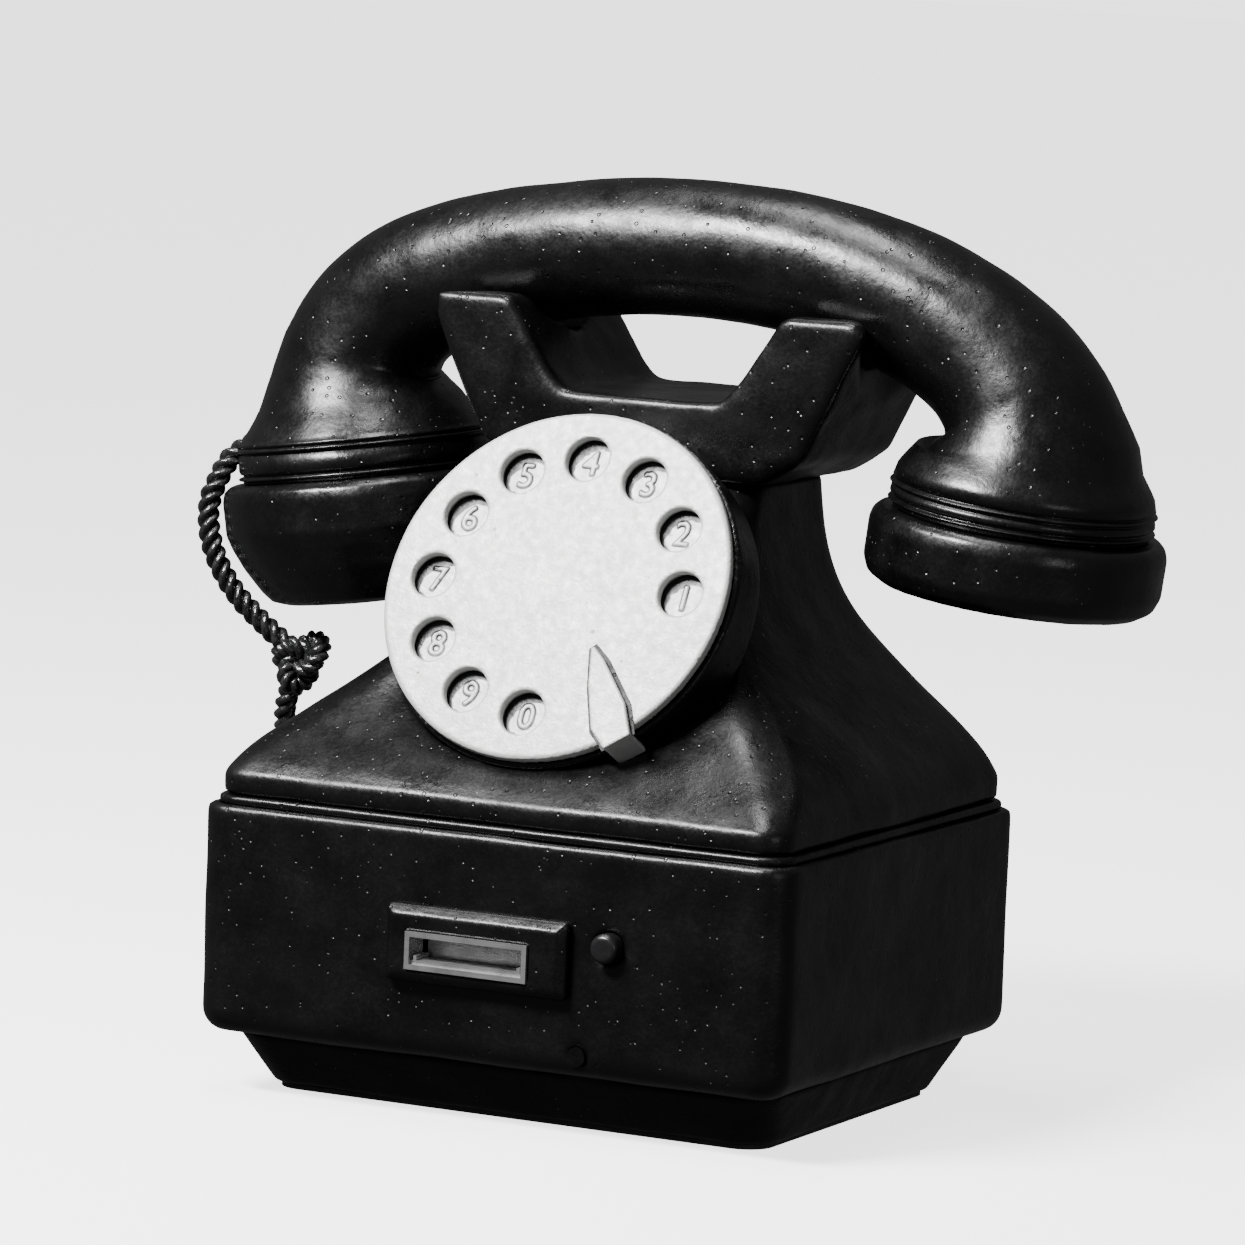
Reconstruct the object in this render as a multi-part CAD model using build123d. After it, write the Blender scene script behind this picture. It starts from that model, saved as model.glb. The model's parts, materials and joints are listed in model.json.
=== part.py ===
from build123d import *
from math import asin, atan2, cos, degrees, pi, radians, sin, sqrt, tan
import os

# Rotary desk payphone. Millimetres, +Z up, the dial faces -Y.
# The origin is the centre of the footprint, on the surface that the phone stands on.

# Driving dimensions -------------------------------------------------------------------------

BOX_W, BOX_D = 148.0, 127.0        # lower housing
BOX_Z0, BOX_Z1 = 14.0, 66.5
BOX_CORNER = 7.5
WALL = 3.0
PAD_T = 1.2                        # foot pad
PLINTH_FOOT = (127.0, 95.0)
PLINTH_TOP = (138.0, 114.0)
PLATE_T = 2.0                      # steel base plate
PLATE_SIZE = (109.0, 79.0)
DESK_BOLTS = (76.0, 56.0)          # spacing of the bolts that hold the phone down
DESK_BOLT_R = 2.15
BEAD_Z1 = 68.5
NECK_Z = 142.0                     # top of the flared housing

# The flare: height, half width, front face y, back face y, corner radius
FLARE = [
    (73.5, 71.5, -60.5, 61.5, 7.5),
    (77.5, 69.5, -56.5, 61.0, 8.5),
    (85.4, 62.8, -45.0, 60.0, 10.0),
    (94.4, 52.5, -35.0, 58.5, 10.5),
    (106.5, 40.5, -24.0, 54.5, 10.0),
    (126.5, 31.0, -6.0, 49.5, 9.0),
    (NECK_Z, 28.6, 8.0, 48.5, 8.0),
]

DECK_Z = 42.0                      # chassis deck inside the box
DECK_T = 1.5

# Dial: its own frame has +Z along the dial's axis, out of the face, and +Y up the face
DIAL_TILT = 28.0
DIAL_CENTRE = (0.0, -34.7, 120.3)
WHEEL_R = 42.3
HOLE_R = 5.35
HOLE_PITCH_R = 31.0
FIRST_HOLE = 1.5                   # degrees, digit 1, counted anticlockwise from 3 o'clock
HOLE_STEP = 29.9
STOP_ANGLE = 306.0
CUP_R = 43.2
SPINDLE_R = 3.0
GEAR_MODULE = 1.0
MAIN_TEETH, PINION_TEETH = 48, 12
FAST_MODULE = 0.6
FAST_TEETH, GOVERNOR_TEETH = 30, 10
PULSE_ANGLE = 150.0                # where the pulse gear's shaft stands round the main gear
GOVERNOR_ANGLE = -30.0             # where the governor's shaft stands round the pulse gear
BACKLASH = 0.12

# Handset and cradle
HANDLE_Y = 29.0
HANDLE_R = 16.0
ARCH_TOP = 192.5                   # centre line of the handle at the middle
ARCH_R = 165.0
ARCH_HALF = 65.0
BEND_R = 34.0
BELL_TILT = 7.5
LEAN = 1.0                         # the mouth end hangs lower
BELL_RIM_R = 30.2
MOUTH_R, EAR_R = 35.0, 34.2         # the two caps
CRADLE_Y = (3.5, 54.5)
HORN_Z = 181.0
NOTCH_Z = 160.0
SEAT_GAP = 0.4
PLUNGER_X = 33.0
PLUNGER_R = 2.2

# Coin works, centred on the slot
PLATE_CENTRE = (-0.5, 40.6)
COIN_PLATE = (45.6, 17.6)
SLOT_X, SLOT_Z = -2.0, 39.4
SLOT_W, SLOT_H = 30.6, 8.6
BUTTON_X, BUTTON_Z = 31.5, 44.7
BUTTON_R = 3.4
GATE_Y, GATE_Z = -40.5, 34.0
FLAP_Y, FLAP_Z = -59.3, 42.2
SCREW_X, SCREW_Z = 24.5, 19.4      # the front screw

# Cord
CORD_R = 2.75
COIL_CENTRE = (-22.0, 112.0)
COIL_R = 30.0
GLAND_X, GLAND_Z = -50.0, 29.0
LINE_X = 50.0
LINE_BORE_R = 3.25


# Helpers ------------------------------------------------------------------------------------

def bar(x, y, z):
    """A box from pairs of limits along each axis."""
    size = (x[1] - x[0], y[1] - y[0], z[1] - z[0])
    return Pos(x[0], y[0], z[0]) * Box(*size, align=(Align.MIN,) * 3)


def rod_z(radius, z0, z1, x=0.0, y=0.0):
    return Pos(x, y, z0) * Cylinder(radius, z1 - z0, align=(Align.CENTER, Align.CENTER, Align.MIN))


def rod_y(radius, y0, y1, x, z):
    return Pos(x, y0, z) * Rot(-90, 0, 0) * rod_z(radius, 0, y1 - y0)


def rod_x(radius, x0, x1, y, z):
    return Pos(x0, y, z) * Rot(0, 90, 0) * rod_z(radius, 0, x1 - x0)


def slab(width, depth, corner, z0, z1, x=0.0, y=0.0):
    """An upright plate with rounded corners."""
    return Pos(x, y, z0) * extrude(RectangleRounded(width, depth, corner), z1 - z0)


def turned(points):
    """A solid of revolution about Z from (radius, height) points."""
    outline = make_face(Polyline(*[(r, 0, z) for r, z in points], close=True))
    return revolve(outline, Axis.Z)


def group(shapes):
    return Compound(children=list(shapes))


def polar(radius, angle):
    return radius * cos(radians(angle)), radius * sin(radians(angle))


def write(node, shape):
    export_step(shape, f"parts/{node}.step")


DIAL = Plane(
    origin=DIAL_CENTRE,
    x_dir=(1, 0, 0),
    z_dir=(0, -cos(radians(DIAL_TILT)), sin(radians(DIAL_TILT))),
).location

HANDSET = (
    Plane(origin=(0, HANDLE_Y, ARCH_TOP), x_dir=(1, 0, 0), z_dir=(0, -1, 0)).location
    * Rot(0, 0, LEAN)
)


# Base ---------------------------------------------------------------------------------------

def desk_bolt_places():
    return [(sx * DESK_BOLTS[0] / 2, sy * DESK_BOLTS[1] / 2) for sx in (-1, 1) for sy in (-1, 1)]


def base_screw_places():
    return [(sx * 51.7, sy * 15.0) for sx in (-1, 1) for sy in (-1, 1)]


def pillar_places():
    return [(sx * 44.0, sy * 14.0) for sx in (-1, 1) for sy in (-1, 1)]


def base_pad():
    pad = slab(PLINTH_FOOT[0] - 3, PLINTH_FOOT[1] - 3, 7, 0, PAD_T)
    for x, y in desk_bolt_places():
        pad -= rod_z(4.5, -1, PAD_T + 1, x, y)
    for x, y in base_screw_places():
        pad -= rod_z(3.2, -1, PAD_T + 1, x, y)
    return pad


def base_plate():
    plate = slab(*PLATE_SIZE, 6, PAD_T, PAD_T + PLATE_T)
    for x, y in desk_bolt_places():
        plate -= rod_z(DESK_BOLT_R, 0, 5, x, y)
    for x, y in base_screw_places():
        plate -= rod_z(1.6, 0, 5, x, y)
    return plate


def base_plinth():
    """A tapered skirt, hollow above a ledge that the base plate is screwed to."""
    ledge_z = PAD_T + PLATE_T + 0.1
    foot = Pos(0, 0, PAD_T) * RectangleRounded(*PLINTH_FOOT, 9)
    top = Pos(0, 0, BOX_Z0) * RectangleRounded(*PLINTH_TOP, 10)
    skirt = loft([foot, top], ruled=True)
    skirt -= slab(PLATE_SIZE[0] + 0.4, PLATE_SIZE[1] + 0.4, 6, 0, ledge_z)
    skirt -= slab(98, 68, 6, 0, 20)
    skirt -= slab(117, 90, 6, ledge_z + 3.2, 20)
    for x, y in base_screw_places():
        skirt += rod_z(4, ledge_z + 1, 12, x, y)
        skirt -= rod_z(1.5, 0, 10.5, x, y)
    # The lug that the front screw bites into stands up behind the front wall.
    lug = bar((SCREW_X - 4.5, SCREW_X + 4.5), (-56.2, -51.5), (13, 24))
    lug -= rod_y(1.5, -60, -50, SCREW_X, SCREW_Z)
    return skirt + lug


def base_screws():
    """Pan-head screws that hold the base plate in the plinth."""
    screws = []
    for x, y in base_screw_places():
        screws.append(rod_z(2.8, PAD_T - 1.1, PAD_T, x, y) + rod_z(1.45, PAD_T - 0.5, 9.5, x, y))
    return group(screws)


# Housings -----------------------------------------------------------------------------------

def lower_housing():
    """The box: open at the top, with a rim floor, and cut for the slot, button, drawer and cords."""
    shell = slab(BOX_W, BOX_D, BOX_CORNER, BOX_Z0, BOX_Z1)
    shell = fillet(shell.faces().sort_by(Axis.Z)[0].edges(), 5.5)
    shell = fillet(shell.faces().sort_by(Axis.Z)[-1].edges(), 1.4)
    shell -= slab(BOX_W - 2 * WALL, BOX_D - 2 * WALL, BOX_CORNER - WALL, BOX_Z0 + WALL, BOX_Z1 + 5)
    shell -= slab(118, 95, 6, 0, 20)
    front, back = -BOX_D / 2, BOX_D / 2
    shell -= bar((SCREW_X - 4.8, SCREW_X + 4.8), (-56.6, -45), (0, 24.3))
    shell -= bar((SLOT_X - SLOT_W / 2, SLOT_X + SLOT_W / 2), (front - 5, front + 9),
                 (SLOT_Z - SLOT_H / 2, SLOT_Z + SLOT_H / 2))
    shell -= rod_y(BUTTON_R + 0.1, front - 5, front + 9, BUTTON_X, BUTTON_Z)
    shell -= rod_y(2.3, front - 5, front + 1.3, SCREW_X, SCREW_Z)
    shell -= rod_y(1.6, front - 5, front + 9, SCREW_X, SCREW_Z)
    shell -= bar((-31.5, 31.5), (back - 9, back + 5), (19.3, 41.5))
    shell -= rod_y(6, back - 9, back + 5, LINE_X, GLAND_Z)
    shell -= rod_y(6, back - 9, back + 5, GLAND_X, GLAND_Z)
    return shell


def joint_bead():
    """The thin trim strip between the box and the flared housing."""
    bead = slab(BOX_W - 3.4, BOX_D - 3.4, BOX_CORNER, BOX_Z1, BEAD_Z1)
    bead -= slab(BOX_W - 10, BOX_D - 10, BOX_CORNER - 3, BOX_Z1 - 1, BEAD_Z1 + 1)
    return fillet(bead.faces().filter_by(Plane.XY).sort_by(Axis.Z)[-1].outer_wire().edges(), 0.9)


def flare_section(z, half, front, back, corner):
    return Pos(0, (front + back) / 2, z) * RectangleRounded(2 * half, back - front, corner)


def flare_solid(inset=0.0):
    sections = []
    for z, half, front, back, corner in FLARE:
        sections.append(flare_section(z, half - inset, front + inset, back - inset, corner - inset))
    return loft(sections)


def dial_cup_body():
    """The full outer form of the dial cup, in the phone's frame."""
    return DIAL * turned([(0, -27), (30, -27), (CUP_R, -16), (CUP_R, -3), (0, -3)])


def upper_housing():
    """The flared shell: a straight lip, then a concave rise to the neck, open to the dial cup."""
    z0, half, front, back, corner = FLARE[0]
    outer = slab(2 * half, back - front, corner, BEAD_Z1, z0) + flare_solid()
    hollow = flare_solid(WALL) - bar((-80, 80), (-80, 80), (NECK_Z - WALL, NECK_Z + 5))
    lip_hollow = slab(2 * (half - WALL), back - front - 2 * WALL, corner - WALL, BEAD_Z1 - 1, z0)
    shell = outer - hollow - lip_hollow
    shell -= dial_cup_body()
    shell -= DIAL * rod_z(CUP_R + 0.4, -3.1, 20)
    shell -= DIAL * Rot(0, 0, STOP_ANGLE) * bar((CUP_R - 1, CUP_R + 2.1), (-3.9, 3.9), (-8.6, 20))
    shell -= rod_z(3.2, NECK_Z - 10, NECK_Z + 5, 0, HANDLE_Y)
    for x, y in cradle_screw_places():
        shell -= rod_z(1.6, NECK_Z - 10, NECK_Z + 5, x, y)
    return shell


def front_screw():
    front = -BOX_D / 2
    return rod_y(2.2, front, front + 1.2, SCREW_X, SCREW_Z) + rod_y(1.45, front + 1, -52.2, SCREW_X, SCREW_Z)


# Deck ---------------------------------------------------------------------------------------

def deck_plate():
    deck = slab(136, 114, 4, DECK_Z, DECK_Z + DECK_T)
    deck -= bar((-22, 38), (-60, -27), (30, 50))
    for x, y in pillar_places():
        deck -= rod_z(1.6, 30, 50, x, y)
    return deck


def deck_pillars():
    """Turned pillars from the base plate to the deck, each with its screw on top."""
    pillars = []
    for x, y in pillar_places():
        post = rod_z(3, PAD_T + PLATE_T, DECK_Z, x, y) + rod_z(1.55, DECK_Z - 1, DECK_Z + 2, x, y)
        pillars.append(post + rod_z(2.6, DECK_Z + DECK_T, DECK_Z + 3, x, y))
    return group(pillars)


# Cradle and hook ----------------------------------------------------------------------------

def cradle_screw_places():
    return [(sx * 18.0, y) for sx in (-1, 1) for y in (17.0, 40.0)]


def handle_channel():
    """The space that the resting handle needs in the cradle, open upwards."""
    arch = HANDSET * (Pos(0, -ARCH_R, 0) * Torus(ARCH_R, HANDLE_R + SEAT_GAP))
    reach = HANDLE_R + SEAT_GAP
    above = HANDSET * bar((-75, 75), (-4, 40), (-reach, reach))
    return arch, above


def cradle():
    """Two horned plates joined by seats: a notch runs front to back and the handle lies across it."""
    half = [
        (0, NECK_Z), (31, NECK_Z), (41, 148), (55.7, HORN_Z - 3), (53.5, HORN_Z), (35.5, HORN_Z),
        (33.6, HORN_Z - 1.5), (24, NOTCH_Z + 4.5), (20, NOTCH_Z), (0, NOTCH_Z),
    ]
    outline = half + [(-x, z) for x, z in reversed(half) if x]
    front, back = CRADLE_Y
    face = make_face(Polyline(*[(x, back, z) for x, z in outline], close=True))
    body = extrude(face, back - front, dir=(0, -1, 0))
    for cut in handle_channel():
        body -= cut
    body -= bar((-28, 28), (front + 5, back - 5), (NECK_Z - 1, NOTCH_Z - 3))
    body -= bar((-36.2, 36.2), (HANDLE_Y - 7, HANDLE_Y + 7), (147, NOTCH_Z - 3))
    for side in (-1, 1):
        body -= rod_z(PLUNGER_R + 0.08, 150, 190, side * PLUNGER_X, HANDLE_Y)
    for side, radius in ((-1, MOUTH_R), (1, EAR_R)):
        bell = bell_frame(side)
        down = bell.z_axis.direction if bell.z_axis.direction.Z < 0 else -bell.z_axis.direction
        passing = bell.position + down * 34
        body -= rod_z(radius + 0.9, 120, 200, passing.X, HANDLE_Y)
    body += cradle_floor()
    return body


def cradle_floor():
    """The floor plate of the cradle, with the stem's guide hole and the screw holes."""
    floor = bar((-28, 28), (CRADLE_Y[0] + 4, CRADLE_Y[1] - 4), (NECK_Z, NECK_Z + 2.5))
    floor -= rod_z(2.58, NECK_Z - 1, NECK_Z + 5, 0, HANDLE_Y)
    for x, y in cradle_screw_places():
        floor -= rod_z(1.5, NECK_Z - 1, NECK_Z + 5, x, y)
    return floor


def cradle_screws():
    screws = []
    for x, y in cradle_screw_places():
        shank = rod_z(1.45, NECK_Z - WALL - 1, NECK_Z + 2.5, x, y)
        screws.append(shank + rod_z(2.6, NECK_Z - WALL - 1.8, NECK_Z - WALL, x, y))
    return group(screws)


def seat_height(x):
    """Height of the handle's underside above the plunger at x, with the handset's lean."""
    lean = radians(LEAN)
    along = x / cos(lean)
    drop = ARCH_R - sqrt(ARCH_R**2 - along**2)
    return ARCH_TOP + x * tan(lean) - (drop + HANDLE_R) / cos(lean)


def hook_bar():
    """Two plungers on a cross bar, with a stem down the neck to the hook lever."""
    yoke = bar((-35.4, 35.4), (HANDLE_Y - 3, HANDLE_Y + 3), (147.5, 150.3))
    stem = rod_z(2.5, 110, 148, 0, HANDLE_Y)
    body = yoke + stem
    for side in (-1, 1):
        x = side * PLUNGER_X
        plunger = rod_z(PLUNGER_R, 149, seat_height(x) - 0.7, x, HANDLE_Y)
        body += fillet(plunger.edges().sort_by(Axis.Z)[-1], 1.4)
    return body


def hook_lever():
    lever = bar((-6, 6), (11, 33), (106.5, 109.6))
    lever += rod_x(3, -6, 6, 14, 108)
    lever -= rod_x(1.55, -8, 8, 14, 108)
    return lever


def hook_bracket():
    """An upright behind the neck, with two ears and the lever's pin."""
    upright = bar((-8, 8), (39.5, 41.5), (DECK_Z + DECK_T, 114))
    upright += bar((-8, 8), (32, 41), (DECK_Z + DECK_T, DECK_Z + DECK_T + 2))
    for side in (-1, 1):
        ear = bar((min(side * 6.6, side * 8), max(side * 6.6, side * 8)), (9.5, 41), (102, 113))
        upright += ear
    return upright + rod_x(1.5, -8, 8, 14, 108)


def hook_contacts():
    """The spring pile of the hook switch, on the upright."""
    pile = bar((-5, 5), (33, 39.5), (90, 99))
    for step in range(4):
        z = 91.4 + 2 * step
        pile += bar((-2.5, 2.5), (17 + step, 34), (z, z + 0.6))
    return pile


# Dial ---------------------------------------------------------------------------------------

def gear_outline(module, teeth, backlash):
    """Involute teeth of 20 degrees: the outline of a spur gear about the origin."""
    pitch_r = module * teeth / 2
    base_r = pitch_r * cos(radians(20))
    tip_r = pitch_r + 0.85 * module
    root_r = pitch_r - 1.2 * module
    half_pitch = pi / (2 * teeth) - backlash / pitch_r
    involute = tan(radians(20)) - radians(20)
    points = []
    start_r = max(base_r, root_r)
    flank = [start_r + (tip_r - start_r) * k / 4 for k in range(5)]
    for tooth in range(teeth):
        middle = 2 * pi * tooth / teeth
        offsets = []
        for r in flank:
            pressure = sqrt(max((r / base_r) ** 2 - 1, 0))
            offsets.append(half_pitch + involute - (pressure - atan2(pressure, 1)))
        rising = [(root_r, -offsets[0] - 0.02)] + [(r, -o) for r, o in zip(flank, offsets)]
        falling = [(r, -a) for r, a in reversed(rising)]
        points += [(r * cos(middle + a), r * sin(middle + a)) for r, a in rising + falling]
    return make_face(Polyline(*points, close=True))


def gear(module, teeth, z0, z1, turn=0.0):
    return Pos(0, 0, z0) * Rot(0, 0, turn) * extrude(gear_outline(module, teeth, BACKLASH), z1 - z0)


def pulse_place():
    distance = GEAR_MODULE * (MAIN_TEETH + PINION_TEETH) / 2 + 0.05
    return polar(distance, PULSE_ANGLE)


def governor_place():
    distance = FAST_MODULE * (FAST_TEETH + GOVERNOR_TEETH) / 2 + 0.05
    x, y = polar(distance, GOVERNOR_ANGLE)
    return pulse_place()[0] + x, pulse_place()[1] + y


def bridge_post_places():
    return [polar(32.0, angle) for angle in (35.0, 215.0, 275.0)]


def dial_cup():
    """The round housing of the dial: a straight rim, then a cone into the neck."""
    cup = dial_cup_body()
    cup -= DIAL * turned([(0, -28), (27.5, -28), (27.5, -26.9), (40.9, -15.4), (40.9, -2), (0, -2)])
    cup += DIAL * (rod_z(41.2, -10.1, -8.6) - rod_z(36.4, -12, -8))
    return cup


def dial_frame():
    plate = rod_z(40.5, -8.6, -7.2) + rod_z(5.5, -9.6, -8.4)
    plate -= rod_z(SPINDLE_R + 0.05, -12, -5)
    plate -= rod_z(1.55, -12, -5, *pulse_place())
    return DIAL * plate


def dial_bridge():
    """A three-legged plate behind the gears that holds the shafts' back ends."""
    bridge = rod_z(34.2, -20, -18.6)
    for x, y in bridge_post_places():
        bridge += rod_z(2, -19, -8.6, x, y)
    bridge -= rod_z(SPINDLE_R + 0.05, -24, -15)
    bridge -= rod_z(1.55, -24, -15, *pulse_place())
    bridge -= rod_z(1.05, -24, -15, *governor_place())
    return DIAL * bridge


def number_plate():
    return DIAL * (rod_z(40.7, -4.2, -3.1) - rod_z(SPINDLE_R + 2.5, -6, -1))


def finger_wheel():
    wheel = rod_z(WHEEL_R, -2.4, 0)
    wheel = fillet(wheel.edges().sort_by(Axis.Z)[-1], 0.8)
    for digit in range(10):
        wheel -= rod_z(HOLE_R, -4, 1, *polar(HOLE_PITCH_R, FIRST_HOLE + HOLE_STEP * digit))
    return DIAL * wheel


def finger_stop():
    """A pointed blade over the wheel, on a foot that hooks round the cup's rim."""
    tip, root = 20.4, CUP_R + 1.6
    blade = make_face(Polyline((tip, 3.4), (tip + 4, 4.3), (root - 8, 5.0), (root, 3.4),
                               (root, -3.4), (root - 6, -4.4), (tip + 8, -1.2), (tip, 2.6), close=True))
    stop = Pos(0, 0, 0.5) * extrude(blade, 1.6)
    foot = bar((CUP_R, root), (-3.4, 3.4), (-8, 1.5))
    return DIAL * Rot(0, 0, STOP_ANGLE) * (stop + foot)


def main_spindle():
    spindle = rod_z(SPINDLE_R, -25.5, -2.4) + rod_z(5, -4.6, -2.4)
    return DIAL * spindle


def main_gear():
    wheel = gear(GEAR_MODULE, MAIN_TEETH, -13, -10) + rod_z(6, -14, -10)
    wheel -= rod_z(SPINDLE_R, -16, -8)
    for k in range(5):
        wheel -= rod_z(4.4, -16, -8, *polar(13.5, 72 * k))
    return DIAL * wheel


def pulse_gear():
    """A pinion driven by the main gear, with the governor's wheel, the pulse cam and the shaft in one."""
    # A tooth gap of the pinion faces a tooth of the main gear on the line of centres.
    main_pitch = 360 / MAIN_TEETH
    tooth_here = round(PULSE_ANGLE / main_pitch) * main_pitch
    lag = (PULSE_ANGLE - tooth_here) * MAIN_TEETH / PINION_TEETH
    mesh_turn = PULSE_ANGLE + 180 + 180 / PINION_TEETH + lag
    body = gear(GEAR_MODULE, PINION_TEETH, -13.2, -10.4, mesh_turn)
    body += gear(FAST_MODULE, FAST_TEETH, -16, -14, GOVERNOR_ANGLE)
    body += rod_z(1.5, -20.4, -7, 0, 0) + rod_z(3, -14.2, -12.8) + pulse_cam()
    return DIAL * Pos(*pulse_place(), 0) * body


def pulse_cam():
    """Four lobes on the pulse gear's own axis."""
    cam = rod_z(4.6, -18, -16.4) + rod_z(3, -16.6, -15.8)
    for k in range(4):
        cam += Rot(0, 0, 90 * k) * bar((3, 6.2), (-1.3, 1.3), (-18, -16.4))
    return Rot(0, 0, 20) * cam


def governor_rotor():
    """The fast shaft, with its pinion and two brake weights."""
    mesh_turn = GOVERNOR_ANGLE + 180 + 180 / GOVERNOR_TEETH
    body = gear(FAST_MODULE, GOVERNOR_TEETH, -16.2, -13.8, mesh_turn) + rod_z(1, -25, -14)
    body += bar((-6.4, 6.4), (-1.2, 1.2), (-23.6, -21.4))
    for side in (-1, 1):
        body += rod_z(1.9, -24.2, -21, side * 4.6, 0)
    return DIAL * Pos(*governor_place(), 0) * body


def governor_cup():
    cup = rod_z(8.5, -26, -20) - rod_z(7.5, -25, -19) - rod_z(1.1, -27, -19)
    return DIAL * Pos(*governor_place(), 0) * cup


def mainspring():
    """The flat spring of the dial, drawn as three rings of its coil in their open cup."""
    coil = rod_z(8.6, -25.6, -20) - rod_z(7.9, -24.8, -19)
    for radius in (4.4, 5.6, 6.8):
        coil += rod_z(radius, -24.9, -21) - rod_z(radius - 0.6, -26, -20)
    coil -= rod_z(SPINDLE_R + 0.15, -27, -19)
    return DIAL * coil


def pulse_contacts():
    """Leaf springs beside the pulse cam, clamped in a block on the bridge."""
    x, y = pulse_place()
    block = bar((x + 12, x + 17), (y + 5.5, y + 14), (-18.6, -14.5))
    for step in range(3):
        reach = bar((x + 1, x + 13), (y + 7 + 2.2 * step, y + 7.5 + 2.2 * step), (-18, -16.3))
        block += reach
    return DIAL * block


# Coin works ---------------------------------------------------------------------------------

def slot_bar(grow, y):
    return bar((SLOT_X - SLOT_W / 2 - grow, SLOT_X + SLOT_W / 2 + grow), y,
               (SLOT_Z - SLOT_H / 2 - grow, SLOT_Z + SLOT_H / 2 + grow))


def coin_plate():
    (x, z), (width, height) = PLATE_CENTRE, COIN_PLATE
    front = -BOX_D / 2
    plate = bar((x - width / 2, x + width / 2), (front - 3.6, front), (z - height / 2, z + height / 2))
    plate = chamfer(plate.faces().sort_by(Axis.Y)[0].edges(), 2.0)
    plate = fillet(plate.edges().filter_by(Axis.Y), 1.2)
    return plate - slot_bar(0, (-70, -60))


def coin_bezel():
    """The silver lining of the slot, with the tongue that a coin is laid on."""
    front, back = -BOX_D / 2 - 4.1, -BOX_D / 2 + 2.6
    lining = slot_bar(-0.02, (front, back)) - slot_bar(-1.2, (-75, -50))
    floor = SLOT_Z - SLOT_H / 2 + 1
    lining += bar((SLOT_X - 14.4, SLOT_X + 14.4), (front + 0.9, back), (floor, floor + 1.1))
    for side in (-1, 1):
        x = SLOT_X + side * 13.0
        lining += bar((x - 0.4, x + 0.4), (front + 0.9, back), (floor, floor + 2.2))
    return lining


def coin_flap():
    flap = bar((SLOT_X - 13.4, SLOT_X + 13.4), (FLAP_Y - 0.5, FLAP_Y + 0.5), (36.2, FLAP_Z))
    return flap + rod_x(1.0, SLOT_X - 16.2, SLOT_X + 16.2, FLAP_Y, FLAP_Z)


def coin_chute():
    """A folded channel from the slot to above the drawer, with the button's bracket."""
    outer = [(-60.5, 33.4), (-60.5, 45.4), (-28.5, 45.4), (-28.5, 33.0), (-42.1, 33.0)]
    inner = [(-61.5, 35.0), (-61.5, 44.2), (-29.7, 44.2), (-29.7, 30), (-39.3, 30), (-42.7, 34.6)]
    left, right = SLOT_X - 16.2, SLOT_X + 16.2
    body = make_face(Polyline(*[(left, y, z) for y, z in outer], close=True))
    body = extrude(body, right - left, dir=(1, 0, 0))
    hollow = make_face(Polyline(*[(left + 1.2, y, z) for y, z in inner], close=True))
    body -= extrude(hollow, right - left - 2.4, dir=(1, 0, 0))
    body -= rod_x(1.06, left - 2, right + 2, FLAP_Y, FLAP_Z)
    body += rod_x(2.3, left, left + 1.2, GATE_Y, GATE_Z) + rod_x(2.3, right - 1.2, right, GATE_Y, GATE_Z)
    body -= rod_x(1.26, left - 2, right + 2, GATE_Y, GATE_Z)
    ear = bar((right - 1, 37.5), (-49.5, -48), (40, 49.5)) - rod_y(1.56, -52, -42, BUTTON_X, BUTTON_Z)
    return body + ear


def coin_gate():
    """A plate across the chute on a shaft, with the arm that the button pushes."""
    plate = bar((SLOT_X - 14, SLOT_X + 14), (GATE_Y - 0.5, GATE_Y + 0.5), (GATE_Z, 42.6))
    shaft = rod_x(1.2, SLOT_X - 16.2, BUTTON_X + 2, GATE_Y, GATE_Z)
    arm = bar((BUTTON_X - 1.6, BUTTON_X + 1.6), (GATE_Y - 1.2, GATE_Y + 0.8), (GATE_Z - 1, 47.5))
    return plate + shaft + arm


def deposit_button():
    wall_in = -BOX_D / 2 + WALL
    head = rod_y(BUTTON_R, -BOX_D / 2 - 3.2, wall_in + 1.4, BUTTON_X, BUTTON_Z)
    head = fillet(head.edges().sort_by(Axis.Y)[0], 1.4)
    collar = rod_y(5, wall_in + 0.2, wall_in + 1.4, BUTTON_X, BUTTON_Z)
    return head + collar + rod_y(1.5, wall_in + 1, GATE_Y - 1.7, BUTTON_X, BUTTON_Z)


def button_spring():
    """Coil spring between the button's collar and the bracket."""
    wire = Helix(pitch=2.2, height=8.8, radius=2.6)
    section = Plane(wire @ 0, z_dir=wire % 0) * Circle(0.32)
    coil = sweep(section, path=wire)
    return Pos(BUTTON_X, -BOX_D / 2 + WALL + 1.8, BUTTON_Z) * Rot(-90, 0, 0) * coil


# Cash drawer --------------------------------------------------------------------------------

def cash_drawer():
    tray = bar((-29, 29), (-41, 60.9), (19.8, 31.2)) - bar((-27.5, 27.5), (-39.5, 59), (21.3, 40))
    panel = bar((-31, 31), (60.8, 63.5), (19.8, 41.2))
    panel = fillet(panel.edges().filter_by(Axis.Y), 1.5)
    return tray + panel - rod_y(4.06, 55, 70, 0, 35.6)


def drawer_lock():
    """The lock barrel with its keyhole, and the cam behind the panel. Unlocked, the cam lies flat."""
    barrel = rod_y(4, 59.4, 63.5, 0, 35.6) + rod_y(5.6, 63.5, 64.7, 0, 35.6)
    barrel -= bar((-0.6, 0.6), (61.5, 66), (33.4, 37.8))
    cam = bar((-2.6, 10.5), (59.1, 60.3), (33.4, 37.8))
    return barrel + cam


def drawer_runners():
    rails = []
    for side in (-1, 1):
        web = bar((29.6, 31.2), (-33, 55), (17.6, DECK_Z))
        shelf = bar((25, 31.2), (-33, 55), (17.6, 19.5))
        rail = web + shelf
        rails.append(rail if side > 0 else mirror(rail, Plane.YZ))
    return group(rails)


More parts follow.
